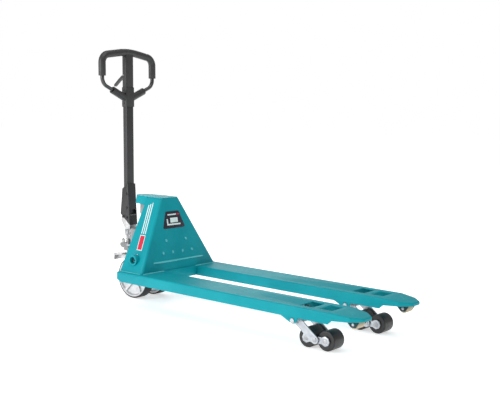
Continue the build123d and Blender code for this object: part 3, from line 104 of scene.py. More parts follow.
def put(tree: Tree, kind: str, settings: dict, links: dict) -> bpy.types.Node:
    """Adds one shader node.

    Args:
        tree: Node tree of the material or the world.
        kind: Blender's name of the node type, without its leading ShaderNode.
        settings: Values by property name or input name. A colour ramp's "stops" are pairs of
            a position and an sRGB hex colour.
        links: By input name, the socket that feeds it, or the node whose first output does.

    Returns:
        The new node.
    """
    made = tree.nodes.new("ShaderNode" + kind)
    for name, value in settings.items():
        if name == "stops":
            for stop, (place, code) in zip(made.color_ramp.elements, value):
                stop.position = place
                stop.color = linear(code)
        elif hasattr(made, name):
            setattr(made, name, value)
        else:
            made.inputs[name].default_value = value
    for name, source in links.items():
        socket = source.outputs[0] if isinstance(source, bpy.types.Node) else source
        tree.links.new(socket, made.inputs[name])
    return made


def pattern(size: float, detail: float = 3.0) -> dict:
    """Gives the settings of a noise.

    Args:
        size: Size of its features in millimetres.
        detail: Octaves of finer noise.

    Returns:
        The noise texture's settings.
    """
    return {"Scale": 1.0 / (size * MM), "Detail": detail, "Roughness": 0.55}


def between(low: float, high: float) -> dict:
    """Gives the settings that map the middle of a noise onto a range of values."""
    return {"From Min": 0.3, "From Max": 0.7, "To Min": low, "To Max": high}


@dataclass(frozen=True)
class Finish:
    """A surface finish with two colours, between which it drifts."""

    name: str
    base: str
    deep: str

    def surface(self, tree: Tree, place: Socket) -> tuple[dict, dict]:
        """Adds the finish's own nodes.

        Args:
            tree: Node tree of the material.
            place: Socket of the object coordinates.

        Returns:
            The shader's settings and its links.
        """
        raise NotImplementedError

    def make(self) -> bpy.types.Material:
        """Builds the material on object coordinates."""
        material = bpy.data.materials.new(self.name)
        material.use_nodes = True
        tree = material.node_tree
        tree.nodes.clear()
        place = put(tree, "TexCoord", {}, {}).outputs["Object"]
        settings, links = self.surface(tree, place)
        shader = put(tree, "BsdfPrincipled", settings, links)
        put(tree, "OutputMaterial", {}, {"Surface": shader})
        return material


@dataclass(frozen=True)
class Enamel(Finish):
    """Stoved powder enamel on steel: a smooth skin with a faint orange peel under a gloss."""

    roughness: float = 0.34
    coat: float = 0.35
    specular: float = 0.5
    peel_mm: float = 2.2  # ripple of the melted powder
    peel_depth_mm: float = 0.05
    cloud_mm: float = 160.0  # slow drift of film thickness
    haze_mm: float = 9.0

    def surface(self, tree: Tree, place: Socket) -> tuple[dict, dict]:
        """Adds drifting colour, a hazy gloss and the orange peel, as Finish says."""
        clouds = put(tree, "TexNoise", pattern(self.cloud_mm, 4.0), {"Vector": place})
        stops = ((0.35, self.deep), (0.65, self.base))
        colour = put(tree, "ValToRGB", {"stops": stops}, {"Fac": clouds})
        haze = put(tree, "TexNoise", pattern(self.haze_mm), {"Vector": place})
        gloss = between(self.roughness - 0.04, self.roughness + 0.06)
        rough = put(tree, "MapRange", gloss, {"Value": haze})
        peel = put(tree, "TexNoise", pattern(self.peel_mm, 1.0), {"Vector": place})
        relief = {"Strength": 0.5, "Distance": self.peel_depth_mm * MM}
        normal = put(tree, "Bump", relief, {"Height": peel})
        settings = {"IOR": 1.5, "Specular IOR Level": self.specular}
        settings |= {"Coat Weight": self.coat, "Coat Roughness": 0.16, "Coat IOR": 1.5}
        return settings, {"Base Color": colour, "Roughness": rough, "Normal": normal}


class Grain(Enum):
    """How a metal was worked: its pattern's size in mm, its detail and its depth in mm."""

    # Tool marks are stretched round the part until they lie 0.8 mm apart, as coarse as they
    # need to be to show.
    TURNED = (3.2, 3.0, 0.03)
    # Sand and die grain.
    CAST = (1.5, 4.0, 0.18)
    # Zinc plate mottles in patches a few millimetres wide.
    PLATED = (6.0, 5.0, 0.02)


@dataclass(frozen=True)
class Metal(Finish):
    """Bare or plated metal, grained by the way that it was worked."""

    grain: Grain
    roughness: float = 0.35
    metallic: float = 1.0
    patch_mm: float = 24.0

    def surface(self, tree: Tree, place: Socket) -> tuple[dict, dict]:
        """Adds patches of tone and the grain, as Finish says."""
        size, detail, depth = self.grain.value
        source: Socket | bpy.types.Node = place
        if self.grain is Grain.TURNED:
            source = put(tree, "Mapping", {"Scale": (0.15, 4.0, 0.15)}, {"Vector": place})
        texture = put(tree, "TexNoise", pattern(size, detail), {"Vector": source})
        patches = put(tree, "TexNoise", pattern(self.patch_mm, 4.0), {"Vector": place})
        stops = ((0.32, self.deep), (0.66, self.base))
        colour = put(tree, "ValToRGB", {"stops": stops}, {"Fac": patches})
        gloss = between(self.roughness - 0.07, self.roughness + 0.09)
        rough = put(tree, "MapRange", gloss, {"Value": texture})
        normal = put(tree, "Bump", {"Strength": 0.6, "Distance": depth * MM}, {"Height": texture})
        links = {"Base Color": colour, "Roughness": rough, "Normal": normal}
        return {"Metallic": self.metallic}, links


@dataclass(frozen=True)
class Polymer(Finish):
    """Moulded or turned plastic, rubber or film with a fine texture."""

    roughness: float = 0.5
    grain_mm: float = 1.1
    depth_mm: float = 0.06
    tone_mm: float = 35.0
    haze_mm: float = 14.0

    def surface(self, tree: Tree, place: Socket) -> tuple[dict, dict]:
        """Adds a drift of tone, a hazy gloss and the moulded texture, as Finish says."""
        tone = put(tree, "TexNoise", pattern(self.tone_mm, 4.0), {"Vector": place})
        stops = ((0.3, self.deep), (0.7, self.base))
        colour = put(tree, "ValToRGB", {"stops": stops}, {"Fac": tone})
        texture = put(tree, "TexNoise", pattern(self.grain_mm, 2.0), {"Vector": place})
        haze = put(tree, "TexNoise", pattern(self.haze_mm), {"Vector": place})
        gloss = between(self.roughness - 0.06, self.roughness + 0.08)
        rough = put(tree, "MapRange", gloss, {"Value": haze})
        relief = {"Strength": 0.7, "Distance": self.depth_mm * MM}
        normal = put(tree, "Bump", relief, {"Height": texture})
        return {"IOR": 1.5}, {"Base Color": colour, "Roughness": rough, "Normal": normal}


@dataclass(frozen=True)
class StudioPaper(Finish):
    """Pale matt paper that glows a little, so that it fades into the background."""

    glow: float
    tone_mm: float = 900.0

    def surface(self, tree: Tree, place: Socket) -> tuple[dict, dict]:
        """Adds a very slow drift of tone, as Finish says."""
        tone = put(tree, "TexNoise", pattern(self.tone_mm), {"Vector": place})
        stops = ((0.3, self.deep), (0.7, self.base))
        colour = put(tree, "ValToRGB", {"stops": stops}, {"Fac": tone})
        settings = {"Roughness": 0.9, "Specular IOR Level": 0.1}
        settings |= {"Emission Strength": self.glow, "Emission Color": WHITE}
        return settings, {"Base Color": colour}


FINISHES: dict[str, Finish] = {
    "teal_paint": Enamel("teal powder enamel", "#0a98a3", "#028f9b", 0.5, 0.04, 0.14),
    # A real gloss, with a base lighter than the teal paint: a painted highlight on the weld beads,
    # panel rib, studs and tip glints.
    "teal_gloss_and_highlight": Enamel("glossy teal enamel lightened as painted highlight", "#4cc3cb", "#38b8c1", 0.2, 0.9),
    # Teal darkened into painted shade, for the entry brackets that sit in shadow under the fork
    # tips.
    "dark_paint": Enamel("teal enamel darkened as painted shade", "#0b3a40", "#082e33", 0.45, 0.1, 0.3),
    "black_gloss": Enamel("gloss black stoved tube enamel", "#1c1c1e", "#161618", 0.24, 0.8),
    "black_paint": Enamel(
        "satin black powder coat", "#2b2b2d", "#242426", 0.46, 0.08, peel_mm=1.2, peel_depth_mm=0.06
    ),
    "grey_paint": Enamel("silver grey cylinder enamel", "#8b8c8e", "#7b7c7e", 0.4, 0.2),
    "zinc": Metal("bright zinc plated steel", "#c3c7cc", "#a9adb3", Grain.PLATED, 0.36, 0.85),
    "steel": Metal("turned steel", "#b9babc", "#9d9ea1", Grain.TURNED, 0.3),
    "rim_alloy": Metal("machined wheel aluminium", "#d4d5d7", "#bfc0c2", Grain.CAST, 0.38, 0.6),
    "cast_alloy": Metal("die cast aluminium", "#cfcfd0", "#b4b4b6", Grain.CAST, 0.42, 0.75),
    "black_plastic": Polymer("moulded black nylon", "#303031", "#262627", 0.42),
    "black_nylon": Polymer("turned black nylon roller", "#262526", "#1b1a1b", 0.36, 2.0, 0.04),
    "pale_nylon": Polymer("natural nylon roller", "#b9ab8c", "#a5977a", 0.45, 2.0, 0.04),
    "tyre_rubber": Polymer("black tyre rubber", "#1d1d1d", "#151515", 0.62, 1.6, 0.1),
    "label_film": Polymer("dark printed label film", "#201d33", "#191729", 0.28, 4.0, 0.01),
    "white_film": Polymer("white vinyl film", "#dff0ef", "#d2e6e5", 0.4, 4.0, 0.01),
    "red_film": Polymer("red vinyl film", "#cf1d3d", "#bd1735", 0.38, 4.0, 0.01),
}
MATERIALS = {name: finish.make() for name, finish in FINISHES.items()}


# ======================================================================================
# Modelling helpers
# ======================================================================================
def select_only(piece: Piece) -> None:
    """Makes one object the only selected and the active one."""
    bpy.ops.object.select_all(action="DESELECT")
    piece.hide_set(False)
    piece.select_set(True)
    bpy.context.view_layer.objects.active = piece


def primitive(kind: str, name: str, **settings: object) -> Piece:
    """Adds a primitive as the only selected object.

    Args:
        kind: Blender's name of the primitive.
        name: Name of the piece that it starts.
        **settings: Its sizes and place in metres.

    Returns:
        The new object.
    """
    bpy.ops.object.select_all(action="DESELECT")
    getattr(bpy.ops.mesh, f"primitive_{kind}_add")(**settings)
    piece = bpy.context.view_layer.objects.active
    piece.name = name
    return piece


def open_mesh() -> None:
    """Opens the active piece in edit mode with all of it selected."""
    bpy.ops.object.mode_set(mode="EDIT")
    bpy.ops.mesh.select_all(action="SELECT")


def close_mesh() -> None:
    """Turns all faces outwards and closes edit mode."""
    bpy.ops.mesh.select_all(action="SELECT")
    bpy.ops.mesh.normals_make_consistent(inside=False)
    bpy.ops.object.mode_set(mode="OBJECT")


def settle(piece: Piece) -> None:
    """Moves a piece's place, turn and scale into its mesh."""
    select_only(piece)
    bpy.ops.object.transform_apply(location=True, rotation=True, scale=True)


def modify(piece: Piece, kind: str, **settings: object) -> None:
    """Adds a modifier with its settings and applies it."""
    select_only(piece)
    made = piece.modifiers.new(kind.lower(), kind)
    for name, value in settings.items():
        setattr(made, name, value)
    bpy.ops.object.modifier_apply(modifier=made.name)


def round_edges(
    piece: Piece, width: float, steps: int = 3, degrees: float = 40.0, **more: object
) -> None:
    """Rounds a piece's edges.

    Args:
        piece: Object to round.
        width: Width of the rounding in millimetres.
        steps: Segments across the rounding.
        degrees: Smallest angle between faces that counts as an edge.
        **more: Other settings of the bevel.
    """
    more |= {"width": width * MM, "segments": steps}
    more |= {"limit_method": "ANGLE", "angle_limit": math.radians(degrees)}
    modify(piece, "BEVEL", **more)


def smooth(piece: Piece, degrees: float = 35.0) -> None:
    """Shades a piece smooth except across sharp edges."""
    select_only(piece)
    bpy.ops.object.shade_smooth_by_angle(angle=math.radians(degrees))


def paint(piece: Piece, finish: str) -> None:
    """Gives a piece one material."""
    piece.data.materials.clear()
    piece.data.materials.append(MATERIALS[finish])


def dress(piece: Piece, finish: str) -> None:
    """Gives a piece its finish.

    Args:
        piece: Object to dress.
        finish: Key of FINISHES.
    """
    paint(piece, finish)
    for polygon in piece.data.polygons:
        polygon.material_index = 0


def fit(piece: Piece, body: str, finish: str) -> Piece:
    """Settles, dresses and attaches a piece, and reports it.

    Args:
        piece: Object to fit.
        body: Body that it rides on.
        finish: Key of FINISHES.

    Returns:
        The same object.
    """
    settle(piece)
    dress(piece, finish)
    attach(piece, body)
    log.info("%s: %d faces on %s", piece.name, len(piece.data.polygons), body)
    return piece


def join(name: str, pieces: Sequence[Piece]) -> Piece:
    """Joins pieces into one named object."""
    for piece in pieces:
        settle(piece)
    select_only(pieces[0])
    for piece in pieces:
        piece.select_set(True)
    bpy.ops.object.join()
    joined = bpy.context.view_layer.objects.active
    joined.name = name
    joined.data.name = name
    return joined


def copy_of(piece: Piece, name: str, shift: Point = (0.0, 0.0, 0.0), turn: float = 0.0) -> Piece:
    """Copies a piece with its own mesh.

    Args:
        piece: Object to copy.
        name: Name of the copy.
        shift: Move in metres.
        turn: Turn about the Y axis through the world's origin in degrees, upwards from the front.

    Returns:
        The copy, with its place in its mesh.
    """
    select_only(piece)
    bpy.ops.object.duplicate()
    twin = bpy.context.view_layer.objects.active
    twin.name = name
    twin.rotation_euler = (0.0, -math.radians(turn), 0.0)
    twin.location = Vector(shift)
    settle(twin)
    return twin


def spots_of(name: str, piece: Piece, spots: Sequence[Vector]) -> Piece:
    """Repeats a piece modelled at its first spot on all the others, joined into one.

    Args:
        name: Name of the joined piece.
        piece: Object that stands at the first spot.
        spots: Places in metres.

    Returns:
        The joined piece.
    """
    copies = [copy_of(piece, name, spot - spots[0]) for spot in spots[1:]]
    return join(name, [piece, *copies])


def joint_place(name: str) -> Vector:
    """Gives a joint's place in the frame."""
    return next(Vector(j["pos_m"]) for j in frame["joints"] if j["name"] == name)


def softened(node: str, width: float, finish: str, steps: int = 3) -> None:
    """Stands a copy with rounded edges in for a CAD node.

    Args:
        node: Name of the CAD node.
        width: Width of the rounding in millimetres.
        finish: Key of FINISHES.
        steps: Segments across the rounding.
    """
    source = frame["nodes"][node]
    select_only(source)
    bpy.ops.object.duplicate()
    piece = bpy.context.view_layer.objects.active
    piece.parent = None
    piece.name = node + "_rounded"
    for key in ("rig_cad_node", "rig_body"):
        if key in piece:
            del piece[key]
    select_only(piece)
    open_mesh()
    bpy.ops.mesh.remove_doubles(threshold=0.02 * MM)
    bpy.ops.mesh.customdata_custom_splitnormals_clear()
    bpy.ops.mesh.dissolve_limited(angle_limit=math.radians(1.5))
    bpy.ops.object.mode_set(mode="OBJECT")
    round_edges(piece, width, steps, 38.0, miter_outer="MITER_ARC")
    smooth(piece)
    body = source["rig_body"]
    dress(piece, finish)
    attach(piece, body)
    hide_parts(node)
    log.info("%s: %d faces on %s", piece.name, len(piece.data.polygons), body)


def disc(
    name: str, centre: Point, radius: float, thick: float, bevel: float = 0.8, sides: int = 48
) -> Piece:
    """Models a round boss with an axis along Y, rounded at its rims.

    Args:
        name: Name of the piece.
        centre: Middle of the boss in metres.
        radius: Radius in millimetres.
        thick: Thickness along Y in millimetres.
        bevel: Rounding of the rims in millimetres.
        sides: Corners round the rim.

    Returns:
        The new piece.
    """
    settings = {"vertices": sides, "radius": radius * MM, "depth": thick * MM}
    settings |= {"location": centre, "rotation": (math.pi / 2, 0.0, 0.0)}
    piece = primitive("cylinder", name, **settings)
    settle(piece)
    round_edges(piece, bevel)
    smooth(piece)
    return piece


def dome(name: str, centre: Point, radius: float, around: int = 24, across: int = 12) -> Piece:
    """Models a round stud from a ball.

    Args:
        name: Name of the piece.
        centre: Middle of the ball in metres.
        radius: Radius in millimetres.
        around: Faces round the ball.
        across: Faces from pole to pole.

    Returns:
        The new piece.
    """
    settings = {"segments": around, "ring_count": across, "radius": radius * MM}
    piece = primitive("uv_sphere", name, location=centre, **settings)
    settle(piece)
    smooth(piece, 60)
    return piece


def stretch(piece: Piece, axis: Point, length: float) -> None:
    """Pulls a piece's two halves apart along an axis through its middle.

    Args:
        piece: Object to stretch.
        axis: Direction of the pull.
        length: Extra length in metres.
    """
    line = Vector(axis).normalized()
    middle = sum((vertex.co for vertex in piece.data.vertices), Vector()) / len(piece.data.vertices)
    for vertex in piece.data.vertices:
        side = (vertex.co - middle).dot(line)
        if abs(side) > MM * MM:
            vertex.co += line * math.copysign(length / 2, side)


def lathe(name: str, profile: Sequence[Point], centre: Point, steps: int = 96) -> Piece:
    """Spins a closed section about an axis along Y.

    Args:
        name: Name of the piece.
        profile: Radius and place along the axis of each corner in millimetres, in order.
        centre: Middle of the piece in metres.
        steps: Steps round the axis.

    Returns:
        The new piece.
    """
    piece = primitive("circle", name, vertices=len(profile))
    for vertex, (radius, along) in zip(piece.data.vertices, profile):
        vertex.co = (radius * MM, along * MM, 0.0)
    open_mesh()
    bpy.ops.mesh.spin(steps=steps, angle=math.tau, center=(0.0, 0.0, 0.0), axis=ALONG_Y)
    bpy.ops.mesh.select_all(action="SELECT")
    bpy.ops.mesh.remove_doubles(threshold=0.01 * MM)
    close_mesh()
    piece.location = centre
    settle(piece)
    smooth(piece)
    return piece


def outline(name: str, points: Sequence[Point], thick: float, normal: Point) -> Piece:
    """Models a thin plate from a flat outline.

    Args:
        name: Name of the piece.
        points: Corners in metres, in order.
        thick: Thickness in millimetres.
        normal: Direction in which the plate is raised.

    Returns:
        The new piece.
    """
    piece = primitive("circle", name, vertices=len(points), fill_type="NGON")
    for vertex, corner in zip(piece.data.vertices, points):
        vertex.co = corner
    open_mesh()
    shift = Vector(normal).normalized() * thick * MM
    bpy.ops.mesh.extrude_region_move(TRANSFORM_OT_translate={"value": shift})
    close_mesh()
    return piece


def weld_bead(
    name: str, begin: Point, end: Point, radius: float = 3.6, pitch: float = 4.6
) -> Piece:
    """Models a weld bead as overlapping ripples along a straight seam.

    Args:
        name: Name of the piece.
        begin: First end of the seam in metres.
        end: Other end of the seam in metres.
        radius: Radius of the bead in millimetres.
        pitch: Distance between ripples in millimetres.

    Returns:
        The bead.
    """
    run = Vector(end) - Vector(begin)
    count = max(2, int(run.length / (pitch * MM)))
    piece = dome(name, begin, radius, 10, 6)
    settings = {"use_relative_offset": False, "use_constant_offset": True}
    settings |= {"count": count + 1, "constant_offset_displace": run / count}
    modify(piece, "ARRAY", **settings)
    smooth(piece, 60)
    return piece


# ======================================================================================
# Sub-assemblies
# ======================================================================================
@dataclass
class Chassis:
    """Forks, A-frame, hood and what is welded or stuck to them."""

    sheet_edge: float = 1.0  # rounding of cut sheet
    hood_edge: float = 4.0
    side_slope: float = 0.5805  # sideways run of a side plate for each unit of its height
    panel_lean: float = 0.222  # the same of the front panel, backwards
    film: float = 0.35
    label_thick: float = 2.2
    bead_inner: float = 112.0  # a panel bead's inner end, from the middle of the truck
    bead_margin: float = 12.0
    bead_stand: float = 1.5
    plate_bead_stand: float = 0.5
    plate_bead: tuple[float, float] = (14.0, 142.0)  # a plate bead's ends, behind the panel
    plate_bead_radius: float = 3.0
    rib_half: float = 163.0
    rib_height: float = 206.0
    rib_width: float = 9.0
    rib_stand: float = 0.6
    stud_radius: float = 8.5
    stud_sunk: float = 2.5
    studs: tuple[tuple[float, float], ...] = ((66.0, 300.0), (97.0, 245.0), (33.0, 245.0))
    tip_taper: float = 113.0
    tip_drop: float = 11.0
    mark_radius: float = 2.2
    mark_sunk: float = 0.8
    painted_tip_glints: tuple[tuple[float, float], ...] = (
        (84.0, 22.0),
        (72.0, 8.0),
        (76.0, -12.0),
        (60.0, -2.0),
        (58.0, 18.0),
    )

    def build(self) -> None:
        """Models the chassis."""
        for side, _ in SIDES:
            softened(f"{side}_fork", self.sheet_edge, "teal_paint", 2)
        softened("a_frame", self.sheet_edge, "teal_paint", 2)
        softened("hood", self.hood_edge, "teal_paint", 4)
        softened("heel_beam", 2.0, "teal_paint")
        softened("shaft_collars", 1.2, "teal_paint")
        softened("arm_lugs", 1.0, "teal_paint")
        softened("fork_axles", 0.8, "zinc")
        # The entry brackets get the darkened teal: painted shade.
        softened("entry_brackets", 0.8, "dark_paint")
        softened("label_plate", 0.3, "label_film")
        softened("ram_sleeve", 1.0, "grey_paint")
        softened("lift_ram", 0.5, "steel")
        self.welds()
        self.pressings()
        self.marks()
        self.label()
        self.stripes()

    def side_point(self, sign: float, back: float, height: float, out: float) -> Vector:
        """Gives a point on a side plate.

        Args:
            sign: 1 for the left plate and -1 for the right one.
            back: Distance behind the plate's front edge in millimetres.
            height: Height above the floor in millimetres.
            out: Distance outwards from the plate in millimetres.

        Returns:
            The point in metres.
        """
        low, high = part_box("a_frame")
        rise = height * MM - self.fork_top()
        outward = Vector((0.0, 1.0, self.side_slope)).normalized()
        ahead = high.x - self.panel_lean * rise - back * MM
        spot = Vector((ahead, -low.y - self.side_slope * rise, height * MM)) + outward * out * MM
        return Vector((spot.x, sign * spot.y, spot.z))

    def panel_point(self, across: float, height: float, out: float) -> Vector:
        """Gives a point on the front panel, as side_point does on a side plate."""
        _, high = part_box("a_frame")
        rise = height * MM - self.fork_top()
        outward = Vector((1.0, 0.0, self.panel_lean)).normalized()
        spot = Vector((high.x - self.panel_lean * rise, across * MM, height * MM))
        return spot + outward * out * MM

    def fork_top(self) -> float:
        """Gives the height of the forks' load face in metres."""
        _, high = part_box("left_fork")
        return high.z

    def welds(self) -> None:
        """Models the beads where the A-frame stands on the forks, lighter in colour as a painted
        highlight.
        """
        _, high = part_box("a_frame")
        top = self.fork_top()
        front = high.x + self.bead_stand * MM
        for side, sign in SIDES:
            inner, outer = sign * self.bead_inner * MM, sign * (high.y - self.bead_margin * MM)
            bead = weld_bead(f"{side}_panel_weld", (front, inner, top), (front, outer, top))
            # Both beads take the lighter teal: a painted highlight.
            fit(bead, "frame", "teal_gloss_and_highlight")
            edge = sign * (high.y + self.plate_bead_stand * MM)
            ends = [(high.x - back * MM, edge, top) for back in self.plate_bead]
            bead = weld_bead(f"{side}_plate_weld", ends[0], ends[1], self.plate_bead_radius)
            fit(bead, "frame", "teal_gloss_and_highlight")

    def pressings(self) -> None:
        """Rounds off the pressed rib and the six pressed studs of the front panel, in a lighter
        teal that paints their highlights.
        """
        middle = self.panel_point(0.0, self.rib_height, self.rib_stand)
        rib = dome("panel_rib", middle, self.rib_width / 2)
        stretch(rib, ALONG_Y, 2 * self.rib_half * MM)
        # The lighter teal of the rib and the studs is a painted highlight.
        fit(rib, "frame", "teal_gloss_and_highlight")
        spots = [
            self.panel_point(sign * half, height, -self.stud_sunk)
            for half, height in self.studs
            for _, sign in SIDES
        ]
        studs = spots_of("panel_studs", dome("panel_studs", spots[0], self.stud_radius), spots)
        fit(studs, "frame", "teal_gloss_and_highlight")

    def marks(self) -> None:
        """Models small lighter domes on the sloping fork tips that stand in for glints: painted
        highlights.
        """
        for side, sign in SIDES:
            low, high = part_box(f"{side}_fork")
            middle = (low.y + high.y) / 2
            spots = []
            for back, across in self.painted_tip_glints:
                down = self.tip_drop * (1.0 - back / self.tip_taper) + self.mark_sunk
                aside = middle + sign * across * MM
                spots.append(Vector((high.x - back * MM, aside, high.z - down * MM)))
            name = f"{side}_painted_tip_glints"
            marks = spots_of(name, dome(name, spots[0], self.mark_radius), spots)
            # The lighter teal of these domes is a painted glint.
            fit(marks, "frame", "teal_gloss_and_highlight")

    def label(self) -> None:
        """Lays a generic load sign on the front label: a box that stands on a fork."""
        fork = ((-46, 398), (-38, 398), (-38, 375), (44, 375), (44, 368), (-46, 368))
        shapes = (
            ("label_rule", "white_film", ((-36, 420), (22, 420), (22, 414), (-36, 414))),
            ("label_tab", "red_film", ((26, 420), (42, 420), (44, 414), (26, 414))),
            ("label_fork", "white_film", fork),
            ("label_load", "white_film", ((-22, 402), (28, 402), (28, 380), (-22, 380))),
        )
        for name, finish, corners in shapes:
            points = [self.panel_point(y, z, self.label_thick + self.film) for y, z in corners]
            piece = outline(name, points, self.film, (1.0, 0.0, self.panel_lean))
            fit(piece, "frame", finish)

    def stripes(self) -> None:
        """Lays plain stripes and a bordered red block on both side plates."""
        # Name, finish, top, foot, nearer and farther distance behind the plate's front edge,
        # and how far the film stands out.
        bands = (
            ("upper_stripe", "white_film", 472, 334, 42, 47, 0.2),
            ("middle_stripe", "white_film", 466, 334, 54, 59, 0.2),
            ("lower_stripe", "white_film", 460, 334, 66, 71, 0.2),
            ("block_border", "white_film", 328, 262, 40, 73, 0.2),
            ("red_block", "red_film", 325, 265, 43, 70, 0.4),
        )
        for side, sign in SIDES:
            for name, finish, top, foot, near, far, out in bands:
                corners = ((near, top), (far, top), (far, foot), (near, foot))
                points = [self.side_point(sign, back, z, out) for back, z in corners]
                piece = outline(f"{side}_{name}", points, self.film, (0.0, sign, self.side_slope))
                fit(piece, "frame", finish)


@dataclass
class LoadWheels:
    """Roller arms, bogies and rollers under the forks."""

    plate_edge: float = 0.9
    pin_edge: float = 0.6

    def build(self) -> None:
        """Models both sides' load wheels."""
        for side, _ in SIDES:
            softened(f"{side}_roller_arm", self.plate_edge, "zinc")
            softened(f"{side}_bogie_links", self.plate_edge, "zinc")
            softened(f"{side}_bogie_axles", self.pin_edge, "steel")
            softened(f"{side}_bogie_pins", self.pin_edge, "steel")
            softened(f"{side}_push_rod", 0.5, "steel")
            for place in ("front", "rear"):
                softened(f"{side}_{place}_roller", 0.8, "black_nylon")
            softened(f"{side}_entry_roller", 1.2, "pale_nylon")


@dataclass
class SteerWheels:
    """The pair of steering wheels under the lift unit."""

    tyre_radius: float = 100.0
    rim_radius: float = 93.0
    half_width: float = 25.0
    lip: float = 7.0
    hub_radius: float = 31.0
    bore_radius: float = 23.6
    web_half: float = 13.0
    rib_half: float = 21.5
    rib_count: int = 5
    rib_at_hub: float = 12.0  # half width of a rib beside the hub
    rib_at_lip: float = 5.5
    rib_edge: float = 1.6
    rib_sunk: float = 1.0  # how deep a rib reaches into the web and the lip
    rib_into_hub: float = 2.0
    first_rib: float = 18.0  # degrees above the front of the wheel

    def build(self) -> None:
        """Models one wheel and places a copy of it on each side."""
        origin = Vector()
        tyre = lathe("tyre", self.tyre_section(), origin)
        parts = [lathe("rim", self.rim_section(), origin)]
        for face in (1.0, -1.0):
            rib = self.rib(face)
            parts.append(rib)
            for step in range(1, self.rib_count):
                parts.append(copy_of(rib, "rib", turn=step * 360 / self.rib_count))
        rim = join("rim", parts)
        smooth(rim, 30)
        for side, _ in SIDES:
            low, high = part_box(f"{side}_steer_tyre")
            centre = (Vector(low) + Vector(high)) / 2
            body = f"{side}_steer_wheel"
            piece = fit(copy_of(tyre, f"{side}_rubber_tyre", centre), body, "tyre_rubber")
            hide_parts(f"{side}_steer_tyre")
            piece = fit(copy_of(rim, f"{side}_cast_rim", centre), body, "rim_alloy")
            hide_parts(f"{side}_steer_rim")
            softened(f"{side}_wheel_bearings", 0.4, "steel")
        for piece in (tyre, rim):
            bpy.data.objects.remove(piece)

    def tyre_section(self) -> list[Point]:
        """Gives the section of the rubber tyre, with rounded shoulders."""
        outer, inner, half = self.tyre_radius, self.rim_radius, self.half_width - 0.4
        upper = [(inner, half - 0.6), (inner + 1.0, half)]
        upper += [(outer - 3.4, half), (outer - 1.4, half - 0.8)]
        upper += [(outer - 0.3, half - 2.6), (outer - 0.02, half - 5.0)]
        return upper + [(radius, -along) for radius, along in reversed(upper)]

    def rim_section(self) -> list[Point]:
        """Gives the section of the rim: hub, web and lip, with cast radii between them."""
        half, web, lip = self.half_width, self.web_half, self.rim_radius - self.lip
        hub, bore, rim = self.hub_radius, self.bore_radius, self.rim_radius
        upper = [(bore, half - 1.0), (bore + 0.9, half - 0.1)]
        upper += [(hub - 1.2, half - 0.1), (hub, half - 1.4)]
        upper += [(hub + 1.6, web + 3.0), (hub + 4.4, web + 0.4), (hub + 8.0, web)]
        upper += [(lip - 8.0, web), (lip - 4.4, web + 0.5), (lip - 1.8, web + 3.0)]
        upper += [(lip, half - 1.6), (lip + 1.3, half - 0.1)]
        upper += [(rim - 0.7, half - 0.1), (rim, half - 0.8)]
        return upper + [(radius, -along) for radius, along in reversed(upper)]

    def rib(self, face: float) -> Piece:
        """Models the first tapered rib across the web of a wheel at the origin.

        Args:
            face: 1 for the web's left face and -1 for its right one.

        Returns:
            The rib.
        """
        turn = math.radians(self.first_rib)
        along = Vector((math.cos(turn), 0.0, math.sin(turn)))
        aside = Vector((-math.sin(turn), 0.0, math.cos(turn)))
        near = self.hub_radius - self.rib_into_hub
        far = self.rim_radius - self.lip + self.rib_sunk
        at_hub, at_lip = self.rib_at_hub, self.rib_at_lip
        shape = ((near, at_hub), (far, at_lip), (far, -at_lip), (near, -at_hub))
        foot = self.web_half - self.rib_sunk
        base = Vector(ALONG_Y) * face * foot * MM
        points = [base + (along * out + aside * half) * MM for out, half in shape]
        piece = outline("rib", points, self.rib_half - foot, (0.0, face, 0.0))
        round_edges(piece, self.rib_edge)
        return piece


